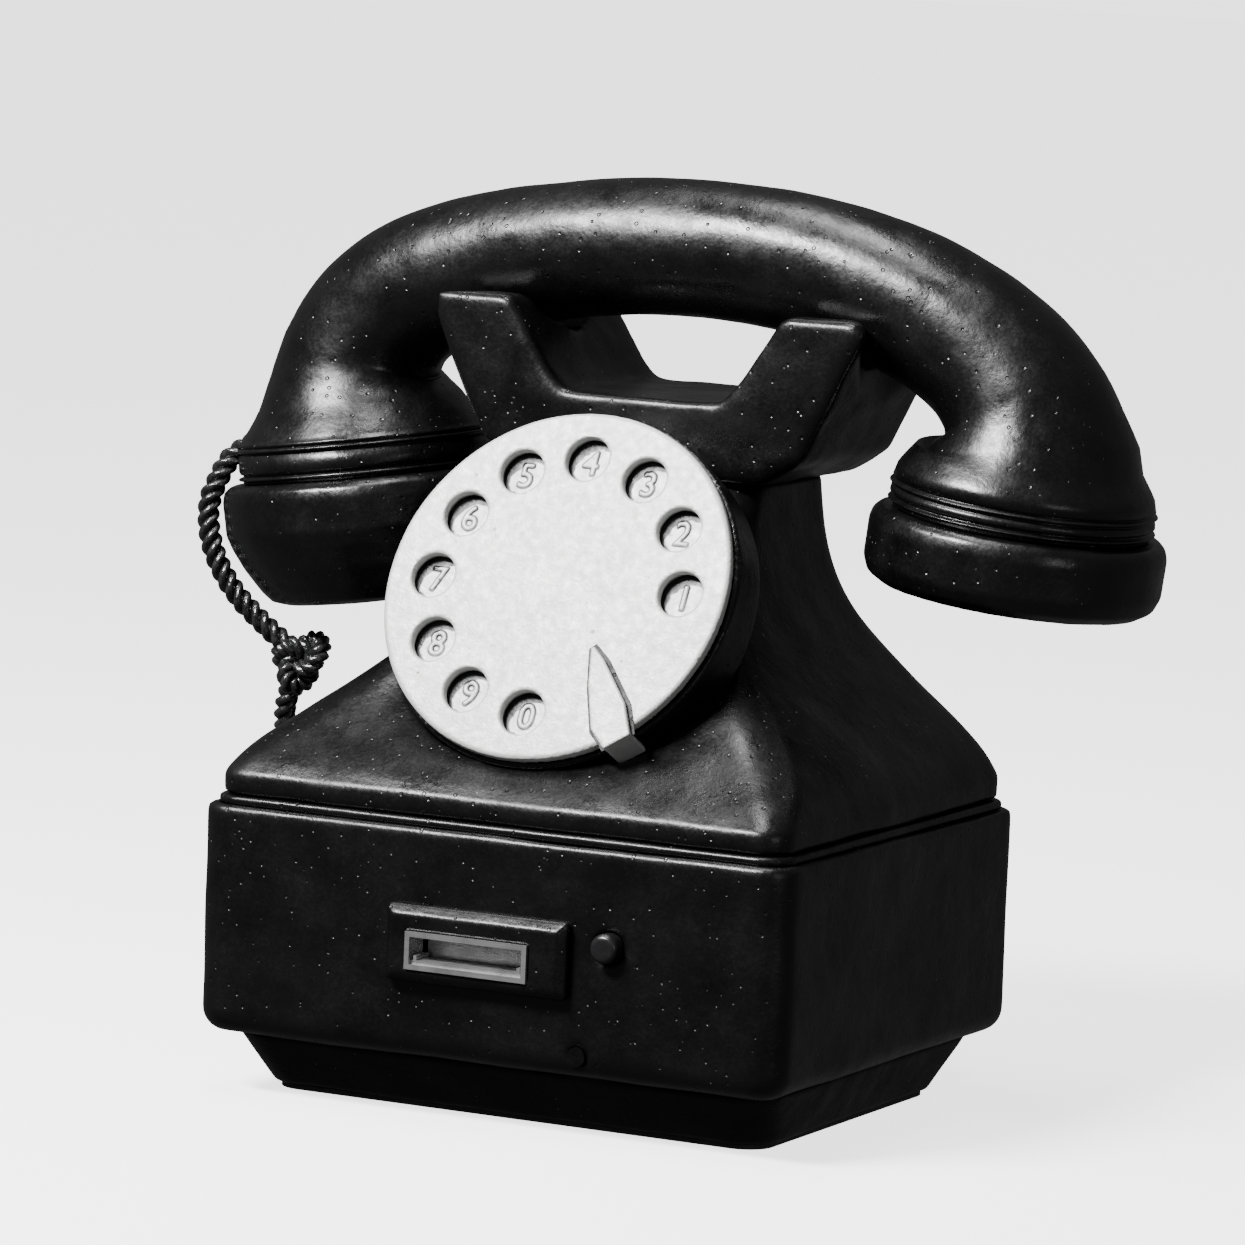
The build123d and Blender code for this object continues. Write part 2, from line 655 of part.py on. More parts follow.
# Ringer -------------------------------------------------------------------------------------

GONG_X, GONG_Y, GONG_R = 31.0, 30.0, 22.0
PIVOT_Y = -14.0


def gong(side):
    """A domed bell on its post and screw."""
    z = 49.5
    dome = turned([(0, 11), (9, 10.6), (17, 7.5), (21, 3), (GONG_R, 0), (GONG_R - 1.4, 0),
                   (19.7, 2.4), (16, 6.2), (8.6, 9.1), (0, 9.5)])
    dome -= rod_z(1.5, -1, 20)
    return Pos(side * GONG_X, GONG_Y, z) * dome


def gong_posts():
    """Posts for both gongs, each with the screw that holds its gong."""
    posts = []
    for side in (-1, 1):
        x = side * GONG_X
        post = rod_z(3, DECK_Z + DECK_T, 58.7, x, GONG_Y) + rod_z(1.45, 58, 62, x, GONG_Y)
        posts.append(post + rod_z(3, 60.6, 62.4, x, GONG_Y))
    return group(posts)


def ringer_frame():
    z = DECK_Z + DECK_T
    frame = bar((-22, 22), (-19, 7.5), (z, z + 2))
    frame += bar((-22, 22), (5.5, 7.5), (z, 62)) - bar((-7, 7), (0, 10), (50, 63))
    return frame + rod_z(1.5, z + 1, 61, 0, PIVOT_Y)


def ringer_coils():
    coils = []
    for side in (-1, 1):
        x, z = side * 14, 54
        coil = rod_y(6.2, -7.5, 3.5, x, z) + rod_y(7.4, -8.5, -7.5, x, z) + rod_y(7.4, 3.5, 4.5, x, z)
        coils.append(coil + rod_y(2.4, -10.4, 5.5, x, z))
    return group(coils)


def clapper():
    """The armature and the hammer between the gongs."""
    z = 55.5
    body = bar((-20, 20), (-15.6, -13.4), (50, 59)) + rod_z(3.2, 50, 59, 0, PIVOT_Y)
    body += rod_y(0.8, -12, 28, 0, z) + Pos(0, 30, z) * Sphere(3.4)
    return body - rod_z(1.56, 45, 65, 0, PIVOT_Y)


# Circuit parts ------------------------------------------------------------------------------

def induction_coil():
    z = DECK_Z + DECK_T
    coil = rod_x(8, -58, -30, -36, z + 10) + rod_x(3, -62, -26, -36, z + 10)
    for x in (-60, -30):
        coil += bar((x, x + 2), (-46, -26), (z, z + 20))
    return coil


def capacitor():
    z = DECK_Z + DECK_T
    can = fillet(rod_z(9.5, z + 3, z + 27, 49, -36).edges().sort_by(Axis.Z)[-1], 1.5)
    return can + slab(24, 24, 4, z, z + 3, 49, -36)


def terminal_block():
    z = DECK_Z + DECK_T
    block = bar((-65, -56), (4, 46), (z, z + 8))
    for k in range(5):
        block += rod_z(2.2, z + 8, z + 9.6, -60.5, 9 + 8 * k)
    return block


# Handset ------------------------------------------------------------------------------------

def arch_point():
    """End of the shallow arch, on the handset's own x and y, and its slope in degrees."""
    slope = degrees(asin(ARCH_HALF / ARCH_R))
    return (ARCH_HALF, sqrt(ARCH_R**2 - ARCH_HALF**2) - ARCH_R), slope


def bell_frame(side):
    """Where the bell starts: its own +Z runs down through the mouth of the bell."""
    (x, y), slope = arch_point()
    cx = x - BEND_R * sin(radians(slope))
    cy = y - BEND_R * cos(radians(slope))
    end = (side * (cx + BEND_R * cos(radians(BELL_TILT))), cy - BEND_R * sin(radians(BELL_TILT)), 0)
    down = (-side * sin(radians(BELL_TILT)), -cos(radians(BELL_TILT)), 0)
    return HANDSET * Plane(origin=end, x_dir=(0, 0, 1), z_dir=down).location


def handle(radius):
    """The bent tube of the handset: a shallow arch and two tight bends."""
    (x, y), slope = arch_point()
    bend = 90 - slope + BELL_TILT
    body = None
    for side in (-1, 1):
        arch = JernArc((0, 0), (side, 0), ARCH_R, -side * slope)
        turn = JernArc(arch @ 1, arch % 1, BEND_R, -side * bend)
        leg = Line(turn @ 1, turn @ 1 + (turn % 1) * 3)
        path = Wire([arch.edge(), turn.edge(), leg.edge()])
        half = sweep(Plane(origin=(0, 0, 0), z_dir=(side, 0, 0)) * Circle(radius), path=path)
        body = half if body is None else body + half
    return HANDSET * body


def bell_profile():
    """Outer line of the bell: a long shoulder, then ring grooves above the cap."""
    rim = BELL_RIM_R
    return [
        (15, -19), (19.2, -15.5), (21.6, -11.5), (24.8, -7.5), (27.8, -3.8), (29.5, -1), (rim, 1),
        (rim, 2), (rim - 0.9, 2.6), (rim, 3.2), (rim, 4.6), (rim - 0.9, 5.2), (rim, 5.8), (rim, 8.2),
        (27.8, 8.2), (27.8, 14),
    ]


def handset_grip():
    solid = handle(HANDLE_R)
    for side in (-1, 1):
        place = bell_frame(side)
        solid += place * turned([(0, -19)] + bell_profile() + [(0, 14)])
    solid -= handle(4.5)
    for side in (-1, 1):
        place = bell_frame(side)
        solid -= place * turned([(0, -16), (4.5, -16), (13, -9), (23.5, 0), (25.6, 3), (25.6, 15), (0, 15)])
    return solid


def sound_holes(z0, z1):
    holes = rod_z(1.3, z0, z1)
    for count, radius in ((6, 6.5), (12, 12.5)):
        for k in range(count):
            holes += rod_z(1.3, z0, z1, *polar(radius, 360 * k / count))
    return holes


def ear_cap():
    """A screwed cap with rings of sound holes in its face."""
    outside = [(28.1, 8.4), (32.2, 8.4), (EAR_R - 0.6, 9.8), (EAR_R, 12), (EAR_R, 20.5),
               (EAR_R - 1.2, 23.6), (EAR_R - 4.5, 25.6), (0, 25.6)]
    inside = [(0, 23.6), (29.5, 23.6), (29.5, 14.4), (28.1, 14.4)]
    body = turned(outside + inside)
    return bell_frame(1) * (body - sound_holes(20, 30))


def mouth_cap():
    """The longer cap: below its band it tapers to a mouthpiece, with sound holes in its face."""
    outside = [(28.1, 8.4), (32.6, 8.4), (MOUTH_R - 0.6, 9.8), (MOUTH_R, 12), (MOUTH_R, 20),
               (MOUTH_R - 1.2, 23.5), (31.4, 28.5), (27.8, 34), (25.5, 36.6), (22.5, 37.6), (0, 37.6)]
    inside = [(0, 35), (22, 35), (25.2, 31.5), (29.5, 24.5), (29.5, 14.4), (28.1, 14.4)]
    body = turned(outside + inside)
    return bell_frame(-1) * (body - sound_holes(30, 40))


def capsule(side):
    """The receiver or transmitter inset, clamped between the bell's rim and the cap."""
    body = rod_z(29, 15, 23.4) + rod_z(24.5, 9, 16) + rod_z(9, 5, 9.5)
    return bell_frame(side) * body


def boot_direction():
    return Vector(-0.25, -0.18, -0.95).normalized()


def boot_root():
    """Where the cord boot leaves the mouth cup's shoulder, to the left and the front."""
    return bell_frame(-1).position + Vector(-27.9, -13.4, 0.0)


def handset_cord_boot():
    """A short tapered sleeve that grows out of the ring band beside the cap."""
    place = Plane(origin=boot_root(), z_dir=boot_direction()).location
    boot = place * turned([(0, -6), (3.6, -6), (4.8, -3), (4.8, 3), (4.2, 8), (3.2, 9), (0, 9)])
    bell = turned([(0, -19)] + bell_profile()[:-2] + [(MOUTH_R + 0.4, 8.2), (MOUTH_R + 0.4, 40), (0, 40)])
    return boot - bell_frame(-1) * bell


# Cords --------------------------------------------------------------------------------------

def cord_exit():
    """Just clear of the boot's end."""
    return boot_root() + boot_direction() * 9.5


def upper_route():
    """From the boot, out to the left of the cup and down to the knot."""
    exit_point = cord_exit()
    return [
        tuple(exit_point),
        (-117.2, 11.9, 124.5),
        (-115.2, 11.4, 114.3),
        (-109.8, 12.4, 104.9),
        (-99.0, 14.6, 94.6),
    ]


def lower_route():
    """From the knot down beside the left wall to the floor, then behind the box to the coil."""
    return [
        (-95.5, 16.5, 83.0),
        (-98.5, 19.0, 75.0),
        (-99.0, 25.0, 64.0),
        (-96.0, 34.0, 50.0),
        (-92.0, 45.0, 35.0),
        (-88.0, 57.0, 20.0),
        (-82.5, 69.5, 8.5),
        (-74.0, 81.5, 4.0),
        (-62.0, 88.0, CORD_R),
        (-48.5, 87.0, CORD_R),
        (-35.0, 81.4, CORD_R),
    ]


def tail_route():
    """From the coil up into the gland at the back of the box."""
    mouth = BOX_D / 2 + 12
    return [
        (GLAND_X, mouth, GLAND_Z),
        (GLAND_X, mouth + 8, GLAND_Z - 0.6),
        (GLAND_X + 0.6, mouth + 16, GLAND_Z - 5),
        (GLAND_X + 2.0, mouth + 22, GLAND_Z - 11.5),
        (GLAND_X + 4.5, mouth + 26.5, GLAND_Z - 18.2),
    ]


def tube(points, label):
    """Straight runs joined by tangent arcs as large as the runs allow."""
    points = [Vector(*p) for p in points]
    radii = []
    for before, here, after in zip(points, points[1:], points[2:]):
        turn = radians((here - before).get_angle(after - here))
        shorter = min((here - before).length, (after - here).length)
        radii.append(0.45 * shorter / tan(turn / 2))
    print(label, "radii", [round(r, 1) for r in radii])
    path = FilletPolyline(*points, radius=radii)
    section = Plane(path @ 0, z_dir=path % 0) * Circle(CORD_R)
    solid = sweep(section, path=path)
    ratio = solid.volume / (pi * CORD_R**2 * path.length)
    print(label, "length", round(path.length, 1), "volume ratio", round(ratio, 4))
    return solid


def cord_knot():
    """The outer form of the knot that hangs beside the left shoulder."""
    return Pos(-92.5, 15.5, 89.5) * scale(Sphere(9.5), by=(1.1, 0.85, 1.0))


def cord_coil():
    """The outer form of the put-away turns on the surface behind the box."""
    inner, outer = COIL_R - 2 * CORD_R - 0.3, COIL_R + 2 * CORD_R + 0.3
    ring = turned([(inner, 0), (outer, 0), (outer, 6), (outer - 2.5, 10.6), (inner + 2.5, 10.6), (inner, 6)])
    return Pos(*COIL_CENTRE, 0) * ring


# Cord outlets at the back -------------------------------------------------------------------

def gland(x, bore_r):
    """A rubber grommet in the back wall, with a tapered sleeve outside."""
    back = BOX_D / 2
    body = rod_y(6, back - WALL, back, x, GLAND_Z) + rod_y(7.5, back - WALL - 2, back - WALL, x, GLAND_Z)
    body += rod_y(7.5, back, back + 2, x, GLAND_Z)
    sleeve = Pos(x, back + 2, GLAND_Z) * Rot(-90, 0, 0) * turned([(0, 0), (5.6, 0), (4.2, 10), (0, 10)])
    return body + sleeve - rod_y(bore_r, back - 10, back + 15, x, GLAND_Z)


PARTS = {
    "base_pad": base_pad,
    "base_plate": base_plate,
    "base_plinth": base_plinth,
    "base_screws": base_screws,
    "lower_housing": lower_housing,
    "joint_bead": joint_bead,
    "upper_housing": upper_housing,
    "front_screw": front_screw,
    "deck_plate": deck_plate,
    "deck_pillars": deck_pillars,
    "cradle": cradle,
    "cradle_screws": cradle_screws,
    "hook_bar": hook_bar,
    "hook_lever": hook_lever,
    "hook_bracket": hook_bracket,
    "hook_contacts": hook_contacts,
    "dial_cup": dial_cup,
    "dial_frame": dial_frame,
    "dial_bridge": dial_bridge,
    "number_plate": number_plate,
    "finger_wheel": finger_wheel,
    "finger_stop": finger_stop,
    "main_spindle": main_spindle,
    "main_gear": main_gear,
    "pulse_gear": pulse_gear,
    "governor_rotor": governor_rotor,
    "governor_cup": governor_cup,
    "mainspring": mainspring,
    "pulse_contacts": pulse_contacts,
    "coin_plate": coin_plate,
    "coin_bezel": coin_bezel,
    "coin_flap": coin_flap,
    "coin_chute": coin_chute,
    "coin_gate": coin_gate,
    "deposit_button": deposit_button,
    "button_spring": button_spring,
    "cash_drawer": cash_drawer,
    "drawer_lock": drawer_lock,
    "drawer_runners": drawer_runners,
    "ringer_frame": ringer_frame,
    "ringer_coils": ringer_coils,
    "gong_left": lambda: gong(-1),
    "gong_right": lambda: gong(1),
    "gong_posts": gong_posts,
    "clapper": clapper,
    "induction_coil": induction_coil,
    "capacitor": capacitor,
    "terminal_block": terminal_block,
    "handset_grip": handset_grip,
    "mouth_cap": mouth_cap,
    "ear_cap": ear_cap,
    "handset_capsules": lambda: group([capsule(-1), capsule(1)]),
    "handset_cord_boot": handset_cord_boot,
    "cord_upper": lambda: tube(upper_route(), "cord_upper"),
    "cord_lower": lambda: tube(lower_route(), "cord_lower"),
    "cord_tail": lambda: tube(tail_route(), "cord_tail"),
    "cord_knot": cord_knot,
    "cord_coil": cord_coil,
    "line_cord_grommet": lambda: gland(LINE_X, LINE_BORE_R),
    "handset_cord_gland": lambda: gland(GLAND_X, CORD_R),
}


def main():
    os.makedirs("parts", exist_ok=True)
    for node, make in PARTS.items():
        write(node, make())


main()
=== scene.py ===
import bpy
import bmesh
import json
from math import atan2, cos, pi, radians, sin, sqrt
from mathutils import Matrix, Vector, noise
from mathutils.bvhtree import BVHTree

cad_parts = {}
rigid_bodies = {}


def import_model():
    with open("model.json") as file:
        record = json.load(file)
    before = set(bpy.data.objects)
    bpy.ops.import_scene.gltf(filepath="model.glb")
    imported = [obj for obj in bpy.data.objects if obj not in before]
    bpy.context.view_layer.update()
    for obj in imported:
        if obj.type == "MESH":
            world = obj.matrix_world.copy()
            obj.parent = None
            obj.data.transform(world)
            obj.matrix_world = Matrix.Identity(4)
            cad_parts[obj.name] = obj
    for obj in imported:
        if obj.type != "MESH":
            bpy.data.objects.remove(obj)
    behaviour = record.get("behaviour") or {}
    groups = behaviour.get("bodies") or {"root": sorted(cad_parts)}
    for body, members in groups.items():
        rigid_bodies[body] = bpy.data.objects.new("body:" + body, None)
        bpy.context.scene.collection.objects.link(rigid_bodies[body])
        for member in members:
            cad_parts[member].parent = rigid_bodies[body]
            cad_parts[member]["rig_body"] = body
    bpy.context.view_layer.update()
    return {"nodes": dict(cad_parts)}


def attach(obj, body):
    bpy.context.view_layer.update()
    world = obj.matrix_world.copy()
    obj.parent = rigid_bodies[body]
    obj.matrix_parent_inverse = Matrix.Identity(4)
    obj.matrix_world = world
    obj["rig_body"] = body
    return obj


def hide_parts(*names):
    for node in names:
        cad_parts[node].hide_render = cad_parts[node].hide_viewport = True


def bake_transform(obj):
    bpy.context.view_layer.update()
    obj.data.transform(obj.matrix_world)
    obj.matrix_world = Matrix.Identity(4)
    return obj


# A rotary desk payphone in satin black lacquer over a soft-edged casting, with a silver-painted dial.
# Metres, in the row frame. MM turns millimetres into metres.

MM = 0.001
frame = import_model()
NODES = frame["nodes"]

# The dial's own frame: +Z out of the face, +Y up the face
DIAL_TILT = radians(28)
DIAL_CENTRE = Vector((0, -34.7, 120.3)) * MM
HOLE_R, HOLE_PITCH_R = 5.35 * MM, 31 * MM
FIRST_HOLE, HOLE_STEP = radians(1.5), radians(29.9)

# The handset's frame: x along the handle, y up, the centre of the handle at the origin
HANDSET_TOP = Vector((0, 29, 192.5)) * MM
LEAN = radians(1.0)

# The cord
CORD_D = 5.5 * MM


# Materials ----------------------------------------------------------------------------------

class Finish:
    """A node material whose textures are laid out in millimetres of the object's own space."""

    def __init__(self, name, color, metallic=0.0, roughness=0.4):
        self.material = bpy.data.materials.new(name)
        self.material.use_nodes = True
        self.tree = self.material.node_tree
        self.shader = self.tree.nodes["Principled BSDF"]
        self.shader.inputs["Base Color"].default_value = (*color, 1)
        self.shader.inputs["Metallic"].default_value = metallic
        self.shader.inputs["Roughness"].default_value = roughness
        place = self.tree.nodes.new("ShaderNodeTexCoord")
        grow = self.tree.nodes.new("ShaderNodeMapping")
        grow.inputs["Scale"].default_value = (1 / MM,) * 3
        self.tree.links.new(place.outputs["Object"], grow.inputs["Vector"])
        self.place = grow.outputs["Vector"]
        self.normal = None

    def set(self, **values):
        """Constant sockets, such as coat or specular level, straight on the shader."""
        for socket, value in values.items():
            self.shader.inputs[socket.replace("_", " ")].default_value = value
        return self

    def noise(self, scale, detail=3.0, rough=0.55, stretch=(1, 1, 1), distortion=0.0):
        """Noise whose features are about 1 / scale millimetres across."""
        texture = self.tree.nodes.new("ShaderNodeTexNoise")
        texture.inputs["Scale"].default_value = scale
        texture.inputs["Detail"].default_value = detail
        texture.inputs["Roughness"].default_value = rough
        texture.inputs["Distortion"].default_value = distortion
        self.tree.links.new(self.stretched(stretch), texture.inputs["Vector"])
        return texture.outputs["Fac"]

    def stretched(self, stretch):
        if stretch == (1, 1, 1):
            return self.place
        squeeze = self.tree.nodes.new("ShaderNodeMapping")
        squeeze.inputs["Scale"].default_value = stretch
        self.tree.links.new(self.place, squeeze.inputs["Vector"])
        return squeeze.outputs["Vector"]

    def cells(self, scale, feature="F1"):
        """Distance to scattered points, about 1 / scale millimetres apart."""
        texture = self.tree.nodes.new("ShaderNodeTexVoronoi")
        texture.feature = feature
        texture.inputs["Scale"].default_value = scale
        self.tree.links.new(self.place, texture.inputs["Vector"])
        return texture.outputs["Distance"]

    def wave(self, scale, direction, distortion=1.0):
        texture = self.tree.nodes.new("ShaderNodeTexWave")
        texture.bands_direction = direction
        texture.inputs["Scale"].default_value = scale
        texture.inputs["Distortion"].default_value = distortion
        self.tree.links.new(self.place, texture.inputs["Vector"])
        return texture.outputs["Fac"]

    def ramp(self, value, low, high, out_low=0.0, out_high=1.0):
        """value from low to high becomes out_low to out_high, and stays there beyond."""
        spread = self.tree.nodes.new("ShaderNodeMapRange")
        sockets = ("From Min", "From Max", "To Min", "To Max")
        for socket, number in zip(sockets, (low, high, out_low, out_high)):
            spread.inputs[socket].default_value = number
        self.tree.links.new(value, spread.inputs["Value"])
        return spread.outputs["Result"]

    def math(self, operation, a, b):
        node = self.tree.nodes.new("ShaderNodeMath")
        node.operation = operation
        for socket, value in zip(node.inputs, (a, b)):
            if isinstance(value, (int, float)):
                socket.default_value = value
            else:
                self.tree.links.new(value, socket)
        return node.outputs[0]

    def mix(self, factor, a, b):
        """Colour a where factor is 0 and b where it is 1. Each is a colour or a socket."""
        node = self.tree.nodes.new("ShaderNodeMix")
        node.data_type = "RGBA"
        self.tree.links.new(factor, node.inputs["Factor"])
        for socket, value in ((node.inputs[6], a), (node.inputs[7], b)):
            if isinstance(value, tuple):
                socket.default_value = (*value, 1)
            else:
                self.tree.links.new(value, socket)
        return node.outputs[2]

    def hollows(self, low, high):
        """1 in creases and under edges, 0 on open faces, from the mesh's pointiness."""
        geometry = self.tree.nodes.new("ShaderNodeNewGeometry")
        return self.ramp(geometry.outputs["Pointiness"], high, low)

    def color(self, socket):
        self.tree.links.new(socket, self.shader.inputs["Base Color"])
        return self

    def rough(self, socket):
        self.tree.links.new(socket, self.shader.inputs["Roughness"])
        return self

    def bump(self, height, depth_mm, strength=1.0):
        """Stacks a relief of that depth on the ones before it."""
        node = self.tree.nodes.new("ShaderNodeBump")
        node.inputs["Distance"].default_value = depth_mm * MM
        node.inputs["Strength"].default_value = strength
        self.tree.links.new(height, node.inputs["Height"])
        if self.normal is not None:
            self.tree.links.new(self.normal, node.inputs["Normal"])
        self.normal = node.outputs["Normal"]
        self.tree.links.new(self.normal, self.shader.inputs["Normal"])
        return self


def black_paint(name, dark, light, gloss, grain=0.05):
    """Satin black paint over a casting: brush-soft lumps, grain, pits and a few dust specks."""
    finish = Finish(name, dark, roughness=gloss)
    specks = finish.ramp(finish.cells(0.42), 0.10, 0.05)
    chosen = finish.ramp(finish.noise(0.11, 2), 0.52, 0.60)
    dust = finish.math("MULTIPLY", specks, chosen)
    cloud = finish.ramp(finish.noise(0.05, 4, 0.6), 0.35, 0.7)
    body = finish.mix(cloud, dark, light)
    finish.color(finish.mix(finish.math("MULTIPLY", dust, 0.35), body, (0.42, 0.42, 0.41)))
    patches = finish.ramp(finish.noise(0.09, 4, 0.65), 0.3, 0.7, gloss - 0.07, gloss + 0.11)
    fine = finish.ramp(finish.noise(1.3, 2), 0.3, 0.7, -0.04, 0.05)
    finish.rough(finish.math("ADD", patches, fine))
    pits = finish.ramp(finish.cells(0.3), 0.09, 0.16)
    finish.bump(finish.noise(0.16, 3, 0.5), 0.5, 0.45)
    finish.bump(finish.noise(1.1, 3, 0.6), grain * 2, 0.55)
    finish.bump(finish.noise(3.4, 2, 0.6), grain, 0.4)
    finish.bump(pits, 0.25, 0.6)
    return finish


def silver_paint(name, tint, darken_creases=True):
    """White-silver paint: nearly flat, with pinholes, a few scratches, and the creases darkened, partly ink
    and partly painted shade.
    """
    finish = Finish(name, tint, metallic=0.1, roughness=0.42)
    ink_and_shade = (0.012, 0.012, 0.013)
    cloud = finish.ramp(finish.noise(0.07, 4, 0.6), 0.35, 0.75)
    dull = tuple(c * 0.86 for c in tint)
    body = finish.mix(cloud, tint, dull)
    pinholes = finish.ramp(finish.cells(0.16), 0.075, 0.055)
    few = finish.ramp(finish.noise(0.06, 2), 0.50, 0.56)
    marks = finish.math("MULTIPLY", pinholes, few)
    body = finish.mix(finish.math("MULTIPLY", marks, 0.8), body, ink_and_shade)
    if darken_creases:
        # darker in creases and under edges, from the pointiness: partly ink, partly painted shade
        body = finish.mix(finish.math("MULTIPLY", finish.hollows(0.40, 0.47), 0.9), body, ink_and_shade)
    finish.color(body)
    finish.rough(finish.ramp(finish.noise(0.5, 4), 0.3, 0.7, 0.34, 0.5))
    finish.bump(finish.noise(0.2, 3, 0.5), 0.5, 0.5)
    finish.bump(finish.noise(1.3, 3), 0.16, 0.5)
    finish.bump(finish.ramp(finish.cells(0.16), 0.05, 0.09), 0.15, 0.4)
    return finish


def worked_metal(name, color, roughness, direction="X", metallic=1.0, tarnish=0.25):
    """Machined or drawn metal: fine lines one way, with a dull tarnish in patches."""
    finish = Finish(name, color, metallic=metallic, roughness=roughness)
    stretch = {"X": (0.06, 2, 2), "Y": (2, 0.06, 2), "Z": (2, 2, 0.06)}[direction]
    lines = finish.noise(1.4, 3, 0.6, stretch)
    patches = finish.ramp(finish.noise(0.12, 4, 0.65), 0.45, 0.75)
    dull = tuple(c * (1 - tarnish) * 0.8 for c in color)
    finish.color(finish.mix(patches, color, dull))
    finish.rough(finish.math("ADD", finish.ramp(lines, 0.3, 0.7, -0.05, 0.08), roughness))
    finish.bump(lines, 0.02, 0.5)
    return finish


def moulded(name, color, roughness, mottle=0.25):
    """Moulded plastic or phenolic: mottled colour and a fine skin."""
    finish = Finish(name, color, roughness=roughness)
    other = tuple(c * (1 - mottle) for c in color)
    finish.color(finish.mix(finish.ramp(finish.noise(0.35, 5, 0.7), 0.35, 0.65), color, other))
    finish.rough(finish.ramp(finish.noise(0.8, 3), 0.3, 0.7, roughness - 0.06, roughness + 0.08))
    finish.bump(finish.noise(1.6, 3), 0.04, 0.5)
    return finish


def rubber_finish():
    finish = Finish("rubber", (0.018, 0.018, 0.019), roughness=0.62)
    cloud = finish.ramp(finish.noise(0.25, 4), 0.4, 0.7)
    finish.color(finish.mix(cloud, (0.014, 0.014, 0.015), (0.03, 0.03, 0.03)))
    finish.rough(finish.ramp(finish.noise(0.9, 3), 0.3, 0.7, 0.55, 0.75))
    return finish.bump(finish.noise(2.2, 2), 0.05, 0.6)


def wound(name, color, direction, pitch):
    """Wire or tape wound on a bobbin: ribs across the axis."""
    finish = Finish(name, color, metallic=0.5, roughness=0.4)
    ribs = finish.wave(1 / pitch, direction, 0.3)
    dark = tuple(c * 0.35 for c in color)
    # the grooves between the turns are coloured darker: painted shade
    finish.color(finish.mix(finish.ramp(ribs, 0.1, 0.6, 1, 0), color, dark))
    return finish.bump(ribs, 0.25, 0.9)


def braid_finish():
    """The cord: wet-looking black paint over twisted strands."""
    finish = Finish("cord_black", (0.008, 0.008, 0.009), roughness=0.2)
    worn = finish.ramp(finish.noise(0.7, 3), 0.4, 0.7)
    finish.color(finish.mix(worn, (0.008, 0.008, 0.009), (0.03, 0.03, 0.03)))
    finish.rough(finish.ramp(finish.noise(1.2, 4), 0.3, 0.7, 0.14, 0.34))
    finish.bump(finish.noise(1.5, 3), 0.25, 0.7)
    return finish.bump(finish.cells(1.6), 0.12, 0.5)


PAINT = black_paint("black_lacquer", (0.0012, 0.0012, 0.0013), (0.0035, 0.0035, 0.0037), 0.31)
PAINT.set(Specular_IOR_Level=0.42)
HAND_PAINT = black_paint("handset_lacquer", (0.001, 0.001, 0.0011), (0.0028, 0.0028, 0.003), 0.29, 0.035)
HAND_PAINT.set(Specular_IOR_Level=0.55)
DEEP_PAINT = black_paint("plinth_lacquer", (0.001, 0.001, 0.0011), (0.0028, 0.0028, 0.003), 0.4)
DEEP_PAINT.set(Specular_IOR_Level=0.2)
SILVER = silver_paint("dial_silver", (0.58, 0.59, 0.575))
PLATE_SILVER = silver_paint("number_plate_silver", (0.5, 0.51, 0.5))
TRIM = worked_metal("slot_silver", (0.5, 0.5, 0.5), 0.3, "X", 0.8, 0.3)
STEEL = worked_metal("steel", (0.56, 0.57, 0.59), 0.34)
STEEL_UP = worked_metal("steel_upright", (0.52, 0.53, 0.55), 0.36, "Z")
BRASS = worked_metal("brass", (0.72, 0.52, 0.23), 0.3, "X")
BELL = worked_metal("bell_brass", (0.8, 0.62, 0.3), 0.18, "Z", 1.0, 0.35)
ALUMINIUM = worked_metal("capsule_aluminium", (0.66, 0.67, 0.68), 0.36, "Z")
PHENOLIC = moulded("phenolic", (0.2, 0.09, 0.035), 0.42, 0.4)
BUTTON = moulded("button_black", (0.012, 0.012, 0.013), 0.3, 0.3)
RUBBER = rubber_finish()
COPPER = wound("copper_winding", (0.62, 0.26, 0.11), "Y", 1.1)
WRAP = wound("green_tape", (0.05, 0.13, 0.07), "X", 2.4)
CORD = braid_finish()
CORD.set(Coat_Weight=0.6, Coat_Roughness=0.12)

LOOKS = {
    "base_pad": RUBBER, "base_plate": STEEL, "base_plinth": DEEP_PAINT, "base_screws": STEEL_UP,
    "lower_housing": PAINT, "joint_bead": PAINT, "upper_housing": PAINT, "front_screw": DEEP_PAINT,
    "deck_plate": STEEL, "deck_pillars": BRASS, "cradle": PAINT, "cradle_screws": STEEL_UP,
    "hook_bar": BRASS, "hook_lever": BRASS, "hook_bracket": STEEL_UP, "hook_contacts": PHENOLIC,
    "dial_cup": PAINT, "dial_frame": BRASS, "dial_bridge": BRASS, "number_plate": PLATE_SILVER,
    "finger_wheel": SILVER, "finger_stop": SILVER, "main_spindle": STEEL, "main_gear": BRASS,
    "pulse_gear": BRASS, "governor_rotor": BRASS, "governor_cup": BRASS, "mainspring": STEEL,
    "pulse_contacts": PHENOLIC, "coin_plate": PAINT, "coin_bezel": TRIM, "coin_flap": TRIM,
    "coin_chute": STEEL, "coin_gate": STEEL, "deposit_button": BUTTON, "button_spring": STEEL,
    "cash_drawer": PAINT, "drawer_lock": TRIM, "drawer_runners": STEEL, "ringer_frame": STEEL,
    "ringer_coils": COPPER, "gong_left": BELL, "gong_right": BELL, "gong_posts": BRASS,
    "clapper": BRASS, "induction_coil": WRAP, "capacitor": ALUMINIUM, "terminal_block": PHENOLIC,
    "handset_grip": HAND_PAINT, "mouth_cap": HAND_PAINT, "ear_cap": HAND_PAINT,
    "handset_capsules": ALUMINIUM, "handset_cord_boot": CORD, "cord_upper": CORD,
    "cord_lower": CORD, "cord_tail": CORD, "cord_knot": CORD, "cord_coil": CORD,
    "line_cord_grommet": RUBBER, "handset_cord_gland": RUBBER,
}


def paint(obj, finish):
    obj.data.materials.clear()
    obj.data.materials.append(finish.material)


